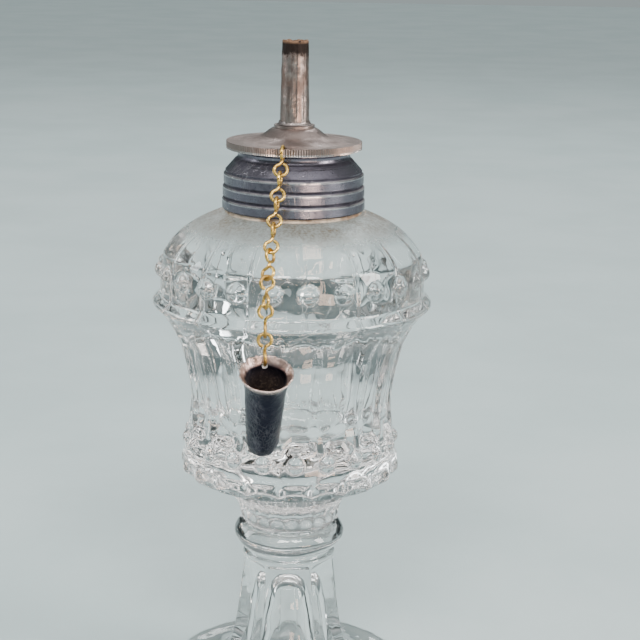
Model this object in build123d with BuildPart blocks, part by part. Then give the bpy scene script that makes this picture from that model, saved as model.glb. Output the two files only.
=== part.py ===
from build123d import *
import math
import os

# Pressed-glass burning-fluid (alcohol) table lamp with a pewter screw burner.
# Millimetres. Z is up, the table is Z = 0, the front of the lamp faces -Y.

# ---- foot, stem and wafer ----
FOOT_R = 34.7
FOOT_EDGE_H = 2.6
STEM_SIDES = 6
STEM_TOP_Z = 41.5
STEM_RING_R = 13.0
WAFER_R = 15.5
WAFER_TOP_Z = 48.5

# ---- font ----
NECK_R = 14.5
NECK_BORE_R = 11.0
NECK_TOP_Z = 146.0
RIDGE_R = 37.9
RIDGE_Z = 111.7
BEAD_COUNT = 24
BEAD_RING_R = 34.9
BEAD_Z = 120.5
BEAD_D = 4.9
BEAD_SHIFT_DEG = -0.75
PANEL_COUNT = 16
PANEL_SHIFT_DEG = 4.9
FLUTE_R = 16.0
FLUTE_DEPTH = 1.0
SKIRT_BEADS = 21
SKIRT_BEAD_D = 4.4
SKIRT_BEAD_Z = 73.2
SKIRT_BEAD_RING_R = 27.8
SCALLOPS = 21
SCALLOP_R = 12.3
SCALLOP_DEPTH = 0.9
SKIRT_SHIFT_DEG = 3.0
SKIRT_RIM_R = 30.4

# ---- collar and screw thread ----
COLLAR_BOTTOM_Z = 137.0
COLLAR_TOP_Z = 153.0
COLLAR_SKIRT_R = 19.2
COLLAR_SKIRT_BORE_R = 16.8
PLASTER_R = 16.74
COVE_R = 15.4
THREAD_BORE_R = 12.75
THREAD_PITCH = 1.8
THREAD_TURNS = 3
THREAD_BASE_Z = 147.0
THREAD_DEPTH = 0.65
THREAD_ROOT_W = 0.9
THREAD_CREST_W = 0.4

# ---- burner cap ----
PLUG_R = 11.9
PLUG_BORE_R = 10.3
PLUG_BOTTOM_Z = 147.0
DISC_R = 18.15
DISC_BOTTOM_Z = 153.12
DISC_T = 2.0
MILLING_COUNT = 168
MILLING_DEPTH = 0.22
BOSS_TOP_Z = 159.4
BOSS_TOP_R = 5.45
CHAIN_HOLE_R = 16.1
CHAIN_HOLE_D = 1.95

# ---- wick tube and wick ----
TUBE_TOP_Z = 181.9
TUBE_BOTTOM_Z = 141.0
TUBE_TOP_R = 3.44
TUBE_BASE_R = 3.95
TUBE_WALL = 0.6
SEAM_TURN_DEG = 22.0
SOLDER_R = 4.75
SOLDER_H = 0.9
WICK_R = 2.4
WICK_TOP_Z = 180.0
WICK_BOTTOM_Z = 131.0

# ---- chain ----
CHAIN_AZ_DEG = 9.5
WIRE_D = 0.75
EYE_R = 1.7
LINK_HALF = 2.325
HOOK_RISE = 0.85
CHAIN_START_R = 17.68
CHAIN_START_Z = 154.12
LINK_LEANS = [32.0, 36.0, 36.0, 36.0, 34.0, 16.0, 4.0, 0.0]
LINK_TWISTS = [0.0, 0.0, 0.0, 0.0, 25.0, 60.0, 80.0, 74.9]

# ---- snuffer ----
SNUFFER_LEAN_DEG = 27.0
SNUFFER_AZ_DEG = -5.6
SNUFFER_LENGTH = 27.4
SNUFFER_HOLE_D = 1.55
SNUFFER_HOLE_DROP = 2.2
SNUFFER_HOLE_WALL_R = 5.35

AZ = math.radians(CHAIN_AZ_DEG)
OUT = Vector(-math.sin(AZ), -math.cos(AZ), 0)
SIDE = Vector(-math.cos(AZ), math.sin(AZ), 0)
UP = Vector(0, 0, 1)


def hang_point(radius, height):
    """A point in the upright plane the chain hangs in."""
    return OUT * radius + UP * height


def save(piece, label):
    """Name one finished piece and write its file."""
    piece.part.label = label
    export_step(piece.part, f"parts/{label}.step")


def make_foot():
    """Round foot and eight-sided stem, one pressing, hollow from below."""
    rim_top = FOOT_EDGE_H
    with BuildPart() as foot:
        with BuildSketch(Plane.XZ):
            with BuildLine():
                Polyline((0, 0.0), (FOOT_R - 0.6, 0.0), (FOOT_R, 0.7), (FOOT_R, rim_top - 0.5))
                Spline(
                    (FOOT_R, rim_top - 0.5),
                    (FOOT_R - 1.0, rim_top + 0.3),
                    (27.0, 4.4),
                    (20.5, 6.6),
                    (15.8, 9.8),
                    (14.0, 12.5),
                )
                Polyline((14.0, 12.5), (0, 12.5), (0, 0.0))
            make_face()
        revolve(axis=Axis.Z)
        sections = [(6.5, 18.6), (11.0, 16.2), (17.0, 14.9), (24.0, 13.9), (31.0, 13.1), (37.5, 12.5)]
        for height, corner_r in sections:
            with BuildSketch(Plane.XY.offset(height)):
                RegularPolygon(radius=corner_r, side_count=STEM_SIDES)
        loft(ruled=True)
        with BuildSketch(Plane.XZ):
            with BuildLine():
                Polyline((0, 36.6), (11.4, 36.6), (12.5, 37.2))
                ThreePointArc((12.5, 37.2), (STEM_RING_R, 38.5), (12.5, 39.8))
                Polyline((12.5, 39.8), (12.2, STEM_TOP_Z), (0, STEM_TOP_Z), (0, 36.6))
            make_face()
        revolve(axis=Axis.Z)
        with BuildSketch(Plane.XZ):
            with BuildLine():
                Polyline((0, -1), (25.0, -1), (25.0, 0.0))
                Spline((25.0, 0.0), (17.0, 2.0), (11.6, 6.0), (8.6, 13.0), (6.6, 24.0), (4.6, 30.4), (0, 32.4))
                Line((0, 32.6), (0, -1))
            make_face()
        revolve(axis=Axis.Z, mode=Mode.SUBTRACT)
    save(foot, "foot")


def make_wafer():
    """Thick round wafer of glass that joins the stem to the font."""
    with BuildPart() as wafer:
        with BuildSketch(Plane.XZ):
            with BuildLine():
                Polyline((0, STEM_TOP_Z), (13.4, STEM_TOP_Z), (14.2, 42.2))
                ThreePointArc((14.2, 42.2), (WAFER_R, 45.0), (14.0, 47.8))
                Polyline((14.0, 47.8), (12.8, WAFER_TOP_Z), (0, WAFER_TOP_Z), (0, STEM_TOP_Z))
            make_face()
        revolve(axis=Axis.Z)
    save(wafer, "wafer")


def flute_point(radius, height, normal_deg):
    """A point one flute radius out from the waist, less the flute depth."""
    reach = FLUTE_R - FLUTE_DEPTH
    tilt = math.radians(normal_deg)
    return (radius + reach * math.cos(tilt), 0, height + reach * math.sin(tilt))


def make_font():
    """Glass reservoir: neck, beaded shoulder, panelled waist and scalloped skirt."""
    with BuildPart() as font:
        with BuildSketch(Plane.XZ):
            with BuildLine():
                Polyline((0, WAFER_TOP_Z), (12.8, WAFER_TOP_Z), (13.5, 49.6))
                Spline((13.5, 49.6), (14.7, 54.0), (18.0, 58.0), (23.5, 61.2), (29.6, 64.0))
                Polyline((29.6, 64.0), (SKIRT_RIM_R, 65.0), (SKIRT_RIM_R, 66.8))
                Spline(
                    (SKIRT_RIM_R, 66.8),
                    (29.2, 70.4),
                    (28.5, 75.6),
                    (27.7, 83.8),
                    (28.6, 91.8),
                    (30.7, 100.8),
                    (34.3, 107.4),
                    (RIDGE_R, RIDGE_Z - 0.3),
                )
                Polyline((RIDGE_R, RIDGE_Z - 0.3), (RIDGE_R, RIDGE_Z + 0.3), (35.9, 114.2))
                Spline(
                    (35.9, 114.2),
                    (35.7, 120.5),
                    (34.9, 125.0),
                    (32.6, 128.2),
                    (29.2, 131.2),
                    (24.6, 133.9),
                    (19.5, 135.9),
                )
                Polyline((19.5, 135.9), (18.4, 136.0), (15.6, 136.4), (NECK_R, 137.4), (NECK_R, NECK_TOP_Z - 0.4))
                Polyline((NECK_R, NECK_TOP_Z - 0.4), (NECK_R - 0.4, NECK_TOP_Z), (NECK_BORE_R, NECK_TOP_Z))
                Polyline((NECK_BORE_R, NECK_TOP_Z), (NECK_BORE_R, 138.0))
                Spline(
                    (NECK_BORE_R, 138.0),
                    (12.5, 134.6),
                    (15.6, 128.6),
                    (18.2, 122.0),
                    (18.8, 115.0),
                    (17.8, 100.0),
                    (16.6, 85.0),
                    (13.0, 76.2),
                    (0, 73.0),
                    tangents=[(0, -1), (-1, 0)],
                )
                Line((0, 73.0), (0, WAFER_TOP_Z))
            make_face()
        revolve(axis=Axis.Z)
        for panel in range(PANEL_COUNT):
            turn = -90 + PANEL_SHIFT_DEG + panel * 360 / PANEL_COUNT
            with BuildLine() as run:
                Spline(
                    flute_point(28.5, 75.6, -7),
                    flute_point(27.7, 83.8, 0),
                    flute_point(28.3, 90.5, 8),
                )
            wire = run.wire().rotate(Axis.Z, turn)
            with BuildSketch(Plane(origin=wire @ 0, z_dir=wire % 0)):
                Circle(FLUTE_R)
            sweep(path=wire, mode=Mode.SUBTRACT)
            with Locations(wire @ 0, wire @ 1):
                Sphere(FLUTE_R, mode=Mode.SUBTRACT)
        bead_step = 360 / BEAD_COUNT
        with Locations((0, 0, BEAD_Z)):
            with PolarLocations(BEAD_RING_R, BEAD_COUNT, start_angle=-90 + bead_step / 2 + BEAD_SHIFT_DEG):
                Sphere(BEAD_D / 2)
        with Locations((0, 0, SKIRT_BEAD_Z)):
            with PolarLocations(SKIRT_BEAD_RING_R, SKIRT_BEADS, start_angle=-90 + SKIRT_SHIFT_DEG):
                Sphere(SKIRT_BEAD_D / 2)
        with Locations((0, 0, 65.0)):
            reach = SKIRT_RIM_R - SCALLOP_DEPTH + SCALLOP_R
            with PolarLocations(reach, SCALLOPS, start_angle=-90 + SKIRT_SHIFT_DEG):
                Cylinder(radius=SCALLOP_R, height=10.0, mode=Mode.SUBTRACT)
    save(font, "font")


def make_plaster_bed():
    """Plaster that beds the collar on the glass neck."""
    with BuildPart() as plaster_bed:
        with BuildSketch(Plane.XZ):
            with BuildLine():
                Polyline(
                    (NECK_R, 137.4),
                    (15.6, 136.4),
                    (18.4, 136.0),
                    (18.2, COLLAR_BOTTOM_Z - 0.05),
                    (PLASTER_R, COLLAR_BOTTOM_Z - 0.05),
                    (PLASTER_R, NECK_TOP_Z - 0.6),
                    (NECK_R, NECK_TOP_Z - 0.6),
                    (NECK_R, 137.4),
                )
            make_face()
        revolve(axis=Axis.Z)
    save(plaster_bed, "plaster_bed")


def thread_ridge(root_r, crest_r, base_z, turns):
    """One helical ridge from its root radius to its crest radius."""
    height = THREAD_PITCH * turns
    toward = 1 if crest_r > root_r else -1
    root = root_r - toward * 0.25
    with BuildLine() as track:
        Helix(pitch=THREAD_PITCH, height=height, radius=root_r, center=(0, 0, base_z))
    with BuildSketch(Plane(origin=(0, 0, base_z), x_dir=(1, 0, 0), z_dir=(0, -1, 0))) as tooth:
        with BuildLine():
            Polyline(
                (root, -THREAD_ROOT_W / 2),
                (crest_r, -THREAD_CREST_W / 2),
                (crest_r, THREAD_CREST_W / 2),
                (root, THREAD_ROOT_W / 2),
                (root, -THREAD_ROOT_W / 2),
            )
        make_face()
    sweep(sections=tooth.sketch, path=track.wire(), is_frenet=True)


def make_collar():
    """Pewter collar: three stepped ribs, sloping band, cove and inside thread."""
    with BuildPart() as collar:
        with BuildSketch(Plane.XZ):
            with BuildLine():
                Polyline(
                    (COLLAR_SKIRT_BORE_R, COLLAR_BOTTOM_Z),
                    (18.9, COLLAR_BOTTOM_Z),
                    (COLLAR_SKIRT_R, 137.4),
                    (COLLAR_SKIRT_R, 139.6),
                    (18.65, 140.2),
                    (19.05, 140.8),
                    (19.05, 143.0),
                    (18.45, 143.6),
                    (18.8, 144.2),
                    (18.8, 146.4),
                    (18.2, 147.0),
                    (18.35, 147.4),
                    (15.8, 150.3),
                )
                ThreePointArc((15.8, 150.3), (COVE_R - 0.4, 151.5), (COVE_R, 152.6))
                Polyline(
                    (COVE_R, 152.6),
                    (COVE_R, COLLAR_TOP_Z),
                    (THREAD_BORE_R, COLLAR_TOP_Z),
                    (THREAD_BORE_R, NECK_TOP_Z + 0.2),
                    (COLLAR_SKIRT_BORE_R, NECK_TOP_Z + 0.2),
                    (COLLAR_SKIRT_BORE_R, COLLAR_BOTTOM_Z),
                )
            make_face()
        revolve(axis=Axis.Z)
        thread_ridge(THREAD_BORE_R, THREAD_BORE_R - THREAD_DEPTH, THREAD_BASE_Z, THREAD_TURNS)
    save(collar, "collar")


def make_burner_cap():
    """Pewter burner: threaded plug, milled disc and hollowed boss."""
    disc_top = DISC_BOTTOM_Z + DISC_T
    step = 2 * math.pi / MILLING_COUNT
    with BuildPart() as burner_cap:
        with BuildSketch(Plane.XY.offset(DISC_BOTTOM_Z)):
            with BuildLine():
                rim = []
                for tooth in range(MILLING_COUNT):
                    for part_turn, radius in ((0.0, DISC_R), (0.5, DISC_R - MILLING_DEPTH)):
                        angle = (tooth + part_turn) * step
                        rim.append((radius * math.cos(angle), radius * math.sin(angle)))
                Polyline(*rim, close=True)
            make_face()
        extrude(amount=DISC_T)
        with BuildSketch(Plane.XZ):
            with BuildLine():
                Polyline((0, disc_top - 0.5), (15.0, disc_top - 0.5), (15.0, disc_top))
                Spline(
                    (15.0, disc_top),
                    (12.0, disc_top + 0.45),
                    (8.6, disc_top + 1.5),
                    (6.6, disc_top + 3.0),
                    (BOSS_TOP_R, BOSS_TOP_Z - 0.7),
                )
                Polyline((BOSS_TOP_R, BOSS_TOP_Z - 0.7), (BOSS_TOP_R, BOSS_TOP_Z), (0, BOSS_TOP_Z))
                Line((0, BOSS_TOP_Z), (0, disc_top - 0.5))
            make_face()
        revolve(axis=Axis.Z)
        with BuildSketch(Plane.XY.offset(PLUG_BOTTOM_Z)):
            Circle(PLUG_R)
            Circle(PLUG_BORE_R, mode=Mode.SUBTRACT)
        extrude(amount=DISC_BOTTOM_Z + 0.5 - PLUG_BOTTOM_Z)
        thread_ridge(PLUG_R, PLUG_R + THREAD_DEPTH, THREAD_BASE_Z + THREAD_PITCH / 2, THREAD_TURNS - 0.5)
        with BuildSketch(Plane.XY.offset(DISC_BOTTOM_Z - 1)):
            Circle(TUBE_BASE_R + 0.02)
        extrude(amount=BOSS_TOP_Z + 2 - DISC_BOTTOM_Z, mode=Mode.SUBTRACT)
        with BuildSketch(Plane.XY.offset(DISC_BOTTOM_Z - 1)):
            with Locations((OUT.X * CHAIN_HOLE_R, OUT.Y * CHAIN_HOLE_R)):
                Circle(CHAIN_HOLE_D / 2)
        extrude(amount=DISC_T + 3, mode=Mode.SUBTRACT)
    save(burner_cap, "burner_cap")


def make_tube_solder():
    """Ring of solder that seals the wick tube to the boss."""
    inner = TUBE_BASE_R + 0.12
    with BuildPart() as tube_solder:
        with BuildSketch(Plane.XZ):
            with BuildLine():
                base = BOSS_TOP_Z + 0.1
                Line((inner, base), (SOLDER_R, base))
                ThreePointArc((SOLDER_R, base), (inner + 0.3, base + 0.32), (inner + 0.12, base + SOLDER_H))
                Polyline((inner + 0.12, base + SOLDER_H), (inner, base + SOLDER_H), (inner, base))
            make_face()
        revolve(axis=Axis.Z)
    save(tube_solder, "tube_solder")


def make_wick_tube():
    """Rolled sheet wick tube, tapered above the boss, with a lapped seam at the front right."""
    with BuildPart() as wick_tube:
        with BuildSketch(Plane.XZ):
            with BuildLine():
                Polyline(
                    (TUBE_BASE_R - TUBE_WALL, TUBE_BOTTOM_Z),
                    (TUBE_BASE_R, TUBE_BOTTOM_Z),
                    (TUBE_BASE_R, BOSS_TOP_Z),
                    (TUBE_TOP_R, TUBE_TOP_Z),
                    (TUBE_TOP_R - TUBE_WALL, TUBE_TOP_Z),
                    (TUBE_BASE_R - TUBE_WALL, BOSS_TOP_Z),
                    (TUBE_BASE_R - TUBE_WALL, TUBE_BOTTOM_Z),
                )
            make_face()
        revolve(axis=Axis.Z)
        with BuildSketch(Plane.XY.offset(BOSS_TOP_Z + 2)):
            with PolarLocations(TUBE_BASE_R - 0.2, 1, start_angle=-90 + SEAM_TURN_DEG):
                Rectangle(0.7, 1.6)
        with BuildSketch(Plane.XY.offset(TUBE_TOP_Z)):
            with PolarLocations(TUBE_TOP_R - 0.2, 1, start_angle=-90 + SEAM_TURN_DEG):
                Rectangle(0.7, 1.5)
        loft(ruled=True)
    save(wick_tube, "wick_tube")


def make_wick():
    """Round braided cotton wick."""
    with BuildPart() as wick:
        with BuildSketch(Plane.XY.offset(WICK_BOTTOM_Z)):
            Circle(WICK_R)
        extrude(amount=WICK_TOP_Z - WICK_BOTTOM_Z)
        chamfer(wick.faces().sort_by(Axis.Z)[-1].edges(), length=0.5)
    save(wick, "wick")


def link_frames():
    """Middle point, lean and twist of every link, from the burner disc down."""
    frames = []
    lean = math.radians(LINK_LEANS[0])
    down = OUT * math.sin(lean) - UP * math.cos(lean)
    centre = hang_point(CHAIN_START_R, CHAIN_START_Z) + down * LINK_HALF
    for index, lean_deg in enumerate(LINK_LEANS):
        lean = math.radians(lean_deg)
        down = OUT * math.sin(lean) - UP * math.cos(lean)
        if index > 0:
            centre = hook + down * (LINK_HALF + EYE_R - HOOK_RISE)
        frames.append((centre, down, math.radians(LINK_TWISTS[index])))
        hook = centre + down * (LINK_HALF + EYE_R)
    return frames, hook


def make_links():
    """Brass jack-chain links: two eyes of wire, set square to each other."""
    frames, hook = link_frames()
    for index, (centre, down, twist) in enumerate(frames):
        across = down.cross(SIDE) * -1
        x_dir = across * math.cos(twist) + SIDE * math.sin(twist)
        with BuildPart(Plane(origin=centre, x_dir=x_dir, z_dir=down * -1)) as link:
            with Locations((0, 0, LINK_HALF)):
                Torus(EYE_R, WIRE_D / 2, major_angle=335, rotation=(90, 0, -90))
            with Locations((0, 0, -LINK_HALF)):
                Torus(EYE_R, WIRE_D / 2, major_angle=335, rotation=(90, 90, 90))
            Cylinder(radius=WIRE_D / 2, height=2 * (LINK_HALF - EYE_R) + 0.2)
        save(link, f"chain_link_{index + 1}")
    return hook


def make_snuffer(hook):
    """Pewter snuffer cap, hung mouth up by a hole under its lip."""
    lean = math.radians(SNUFFER_LEAN_DEG)
    turn = math.radians(SNUFFER_AZ_DEG)
    out = Vector(-math.sin(turn), -math.cos(turn), 0)
    axis_up = out * math.sin(lean) + UP * math.cos(lean)
    forward = out * math.cos(lean) - UP * math.sin(lean)
    mouth = hook + axis_up * SNUFFER_HOLE_DROP + forward * SNUFFER_HOLE_WALL_R
    end = -SNUFFER_LENGTH
    with BuildPart() as cap:
        with BuildSketch(Plane.XZ):
            with BuildLine():
                Polyline((0, end), (0, -0.1), (6.85, -0.1))
                Spline((6.85, -0.1), (5.85, -2.2), (5.3, -5.2), (5.0, -10.0), (4.65, -16.0), (4.25, end + 4.0))
                Spline((4.25, end + 4.0), (3.15, end + 1.1), (0, end), tangents=[(-0.05, -1), (-1, 0)])
            make_face()
        revolve(axis=Axis.Z)
        with BuildSketch(Plane.XZ):
            with BuildLine():
                Polyline((0, end + 1.6), (0, 0.9), (7.2, 0.9), (6.35, -0.1))
                Spline((6.35, -0.1), (5.1, -2.0), (4.45, -4.8), (4.1, -9.0), (3.85, -16.0), (3.5, end + 4.4))
                Spline((3.5, end + 4.4), (2.55, end + 2.3), (0, end + 1.6), tangents=[(-0.05, -1), (-1, 0)])
            make_face()
        revolve(axis=Axis.Z, mode=Mode.SUBTRACT)
        with BuildSketch(Plane(origin=(-SNUFFER_HOLE_WALL_R - 3, 0, -SNUFFER_HOLE_DROP), z_dir=(1, 0, 0))):
            Circle(SNUFFER_HOLE_D / 2)
        extrude(amount=5, mode=Mode.SUBTRACT)
    with BuildPart() as snuffer:
        with Locations(Plane(origin=mouth, x_dir=forward, z_dir=axis_up).location):
            add(cap.part)
    save(snuffer, "snuffer")


os.makedirs("parts", exist_ok=True)
make_foot()
make_wafer()
make_font()
make_plaster_bed()
make_collar()
make_burner_cap()
make_tube_solder()
make_wick_tube()
make_wick()
make_snuffer(make_links())
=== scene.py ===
import logging
import math
from dataclasses import dataclass, field
from enum import Enum
from typing import Callable, Iterable, Sequence, Union

import bpy
from mathutils import Matrix, Vector


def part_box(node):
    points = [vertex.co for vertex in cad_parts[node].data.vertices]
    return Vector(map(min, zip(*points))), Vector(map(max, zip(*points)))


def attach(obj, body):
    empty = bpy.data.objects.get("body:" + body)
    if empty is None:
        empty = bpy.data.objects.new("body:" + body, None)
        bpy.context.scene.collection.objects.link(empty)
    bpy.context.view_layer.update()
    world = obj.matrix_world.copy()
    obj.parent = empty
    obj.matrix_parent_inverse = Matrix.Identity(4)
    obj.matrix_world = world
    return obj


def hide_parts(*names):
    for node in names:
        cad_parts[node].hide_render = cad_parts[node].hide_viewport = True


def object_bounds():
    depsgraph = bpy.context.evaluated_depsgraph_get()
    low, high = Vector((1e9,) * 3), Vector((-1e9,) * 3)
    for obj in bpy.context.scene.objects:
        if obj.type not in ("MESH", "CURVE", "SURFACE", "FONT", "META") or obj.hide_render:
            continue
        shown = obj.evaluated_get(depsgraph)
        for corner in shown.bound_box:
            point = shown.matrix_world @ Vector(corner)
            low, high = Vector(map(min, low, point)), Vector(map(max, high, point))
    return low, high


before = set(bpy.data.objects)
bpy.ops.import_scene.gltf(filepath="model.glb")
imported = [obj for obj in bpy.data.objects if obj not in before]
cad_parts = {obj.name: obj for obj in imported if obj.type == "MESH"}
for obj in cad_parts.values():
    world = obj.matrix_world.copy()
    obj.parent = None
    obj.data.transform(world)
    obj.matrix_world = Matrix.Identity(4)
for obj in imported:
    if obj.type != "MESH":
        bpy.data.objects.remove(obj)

LOG = logging.getLogger("alcohol_lamp")
CAD_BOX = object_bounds()
MM = 0.001
CURVE_STEPS = 24  # cuts along one span of a smooth profile

# radii, in metres, past which a wall is the outside of its piece
RESERVOIR_WALL = 0.021
STEM_WALL = 0.0112

# low edge, high edge and softness, in metres, of the pressed bands
STEM_FLATS = (0.0120, 0.0368, 0.0018)
WAFER_EDGE = (0.0432, 0.0468, 0.0014)
FUNNEL_FLUTES = (0.0525, 0.0590, 0.003)
SKIRT_EDGE = (0.0640, 0.0668, 0.0016)
SKIRT_UNDERSIDE = (0.0640, 0.0652, 0.0010)

# start and end of the runs over which a pattern fades in
SNUFFER_LIP = (-0.0022, -0.0004)
BRAID_SIDE = (0.0012, 0.0022)
LAP_EDGE = (0.045, 0.038)

PANEL_BORDER = (1.04, 1.12, 0.1)  # edges and softness, in panel half widths
BEAD_FILLET = 0.0005  # how softly a bead joins its wall
WELD = 2e-6  # points nearer than this are one point
Socket = bpy.types.NodeSocket
Node = bpy.types.Node
Tree = bpy.types.NodeTree
Material = bpy.types.Material
Thing = bpy.types.Object
Term = Union[float, int, Socket]
Colour = tuple[float, float, float, float]


class Body(str, Enum):
    """Moving bodies that new pieces ride on."""

    LAMP = "lamp"
    BURNER = "burner"
    WICK = "wick"
    SNUFFER = "snuffer"


class Slot(str, Enum):
    """Material slots of the record, one named for each new piece."""

    GLASS = "flint_glass"
    TUBE = "tube_sheet"
    WICK = "wick_cotton"
    CHAIN = "chain_brass"
    SNUFFER = "pewter_snuffer"


class Graph:
    """Short ways to add and join nodes in one node tree."""

    def __init__(self, tree: Tree) -> None:
        """Keeps the tree.

        Args:
            tree: The node tree that nodes are added to.
        """
        self.tree = tree

    def add(self, kind: str, **settings: object) -> Node:
        """Adds a node.

        Args:
            kind: The node's type name.
            **settings: Properties to set on it.

        Returns:
            The new node.
        """
        node = self.tree.nodes.new(kind)
        for name, value in settings.items():
            setattr(node, name, value)
        return node

    def feed(self, socket: Socket, value: object) -> None:
        """Links a socket into another, or sets its value.

        Args:
            socket: The input to fill.
            value: A socket to link, or a plain value.
        """
        if isinstance(value, Socket):
            self.tree.links.new(value, socket)
        else:
            socket.default_value = value

    def node(self, kind: str, inputs: dict[object, object], **settings: object) -> Node:
        """Adds a node and fills its inputs.

        Args:
            kind: The node's type name.
            inputs: A socket to link or a plain value for each input, by name or place.
            **settings: Properties to set on it.

        Returns:
            The new node.
        """
        node = self.add(kind, **settings)
        for key, value in inputs.items():
            self.feed(node.inputs[key], value)
        return node

    def math(self, operation: str, *terms: Term) -> Socket:
        """Adds a Math node.

        Args:
            operation: The operation's name.
            *terms: One to three numbers or sockets.

        Returns:
            The node's output.
        """
        node = self.add("ShaderNodeMath", operation=operation)
        for socket, term in zip(node.inputs, terms):
            self.feed(socket, term)
        return node.outputs[0]

    def plus(self, one: Term, two: Term) -> Socket:
        """Adds two values."""
        return self.math("ADD", one, two)

    def minus(self, one: Term, two: Term) -> Socket:
        """Takes the second value from the first."""
        return self.math("SUBTRACT", one, two)

    def times(self, one: Term, two: Term) -> Socket:
        """Multiplies two values."""
        return self.math("MULTIPLY", one, two)

    def over(self, one: Term, two: Term) -> Socket:
        """Divides the first value by the second."""
        return self.math("DIVIDE", one, two)

    def most(self, one: Term, two: Term) -> Socket:
        """The larger of two values."""
        return self.math("MAXIMUM", one, two)

    def line(self, value: Term, slope: Term, start: Term) -> Socket:
        """A straight line: the value times the slope, plus the start."""
        return self.math("MULTIPLY_ADD", value, slope, start)

    def vector(self, operation: str, *terms: object) -> Node:
        """Adds a Vector Math node.

        Args:
            operation: The operation's name.
            *terms: Vectors or sockets, in the order of the inputs.

        Returns:
            The node.
        """
        node = self.add("ShaderNodeVectorMath", operation=operation)
        for socket, term in zip(node.inputs, terms):
            self.feed(socket, term)
        return node

    def ramp(
        self, value: Term, low: float, high: float, start: float = 0.0, end: float = 1.0
    ) -> Socket:
        """Maps a value smoothly from one range to another.

        Args:
            value: The value to map.
            low: Where the rise starts.
            high: Where the rise ends.
            start: The result at low.
            end: The result at high.

        Returns:
            The mapped value.
        """
        node = self.add("ShaderNodeMapRange", interpolation_type="SMOOTHSTEP", clamp=True)
        for name, term in zip(
            ("Value", "From Min", "From Max", "To Min", "To Max"), (value, low, high, start, end)
        ):
            self.feed(node.inputs[name], term)
        return node.outputs[0]

    def band(self, value: Term, low: float, high: float, soft: float) -> Socket:
        """A smooth window that is 1 between two values and 0 outside.

        Args:
            value: The value to test.
            low: Lower edge.
            high: Upper edge.
            soft: Width of each edge.

        Returns:
            The window's value.
        """
        return self.times(
            self.ramp(value, low - soft, low), self.ramp(value, high, high + soft, 1.0, 0.0)
        )

    def noise(
        self, scale: Term, detail: float = 3.0, roughness: float = 0.55, vector: object = None
    ) -> Socket:
        """Adds a noise texture.

        Args:
            scale: Features per metre.
            detail: Octaves.
            roughness: Strength of the finer octaves.
            vector: Coordinates, or None for the node's own.

        Returns:
            The noise's grey value.
        """
        node = self.node(
            "ShaderNodeTexNoise", {"Scale": scale, "Detail": detail, "Roughness": roughness}
        )
        if vector is not None:
            self.feed(node.inputs["Vector"], vector)
        return node.outputs[0]

    def tint(self, factor: Term, low: object, high: object) -> Socket:
        """Mixes two colours.

        Args:
            factor: 0 gives low and 1 gives high.
            low: A colour or socket.
            high: A colour or socket.

        Returns:
            The mixed colour.
        """
        node = self.node("ShaderNodeMix", {0: factor, 6: low, 7: high}, data_type="RGBA")
        return node.outputs[2]


def number(label: str, value: float) -> tuple[str, str, float]:
    """One named number for a tree's inputs."""
    return label, "NodeSocketFloat", value


def new_group(
    name: str, kind: str, inputs: Sequence[tuple[str, str, object]],
    outputs: Sequence[tuple[str, str]],
) -> tuple[Tree, Graph, Node, Node]:
    """Makes a node group with named sockets.

    Args:
        name: The group's name.
        kind: The tree's type.
        inputs: Name, socket type and default of each input.
        outputs: Name and socket type of each output.

    Returns:
        The tree, its graph, its input node and its output node.
    """
    tree = bpy.data.node_groups.new(name, kind)
    for label, socket_type, default in inputs:
        socket = tree.interface.new_socket(label, in_out="INPUT", socket_type=socket_type)
        if default is not None:
            socket.default_value = default
    for label, socket_type in outputs:
        tree.interface.new_socket(label, in_out="OUTPUT", socket_type=socket_type)
    graph = Graph(tree)
    return tree, graph, graph.add("NodeGroupInput"), graph.add("NodeGroupOutput")


def end_tree(graph: Graph, given: Node, made: Node, mesh: Socket) -> None:
    """Ends a mesh tree: smooth shading, real instances and the material.

    Args:
        graph: The graph to build in.
        given: The group's input node.
        made: The group's output node.
        mesh: The mesh so far.
    """
    smooth = graph.node("GeometryNodeSetShadeSmooth", {"Geometry": mesh})
    realize = graph.node("GeometryNodeRealizeInstances", {0: smooth.outputs[0]})
    paint = graph.node(
        "GeometryNodeSetMaterial",
        {"Geometry": realize.outputs[0], "Material": given.outputs["Material"]},
    )
    graph.feed(made.inputs["Mesh"], paint.outputs[0])


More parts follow.
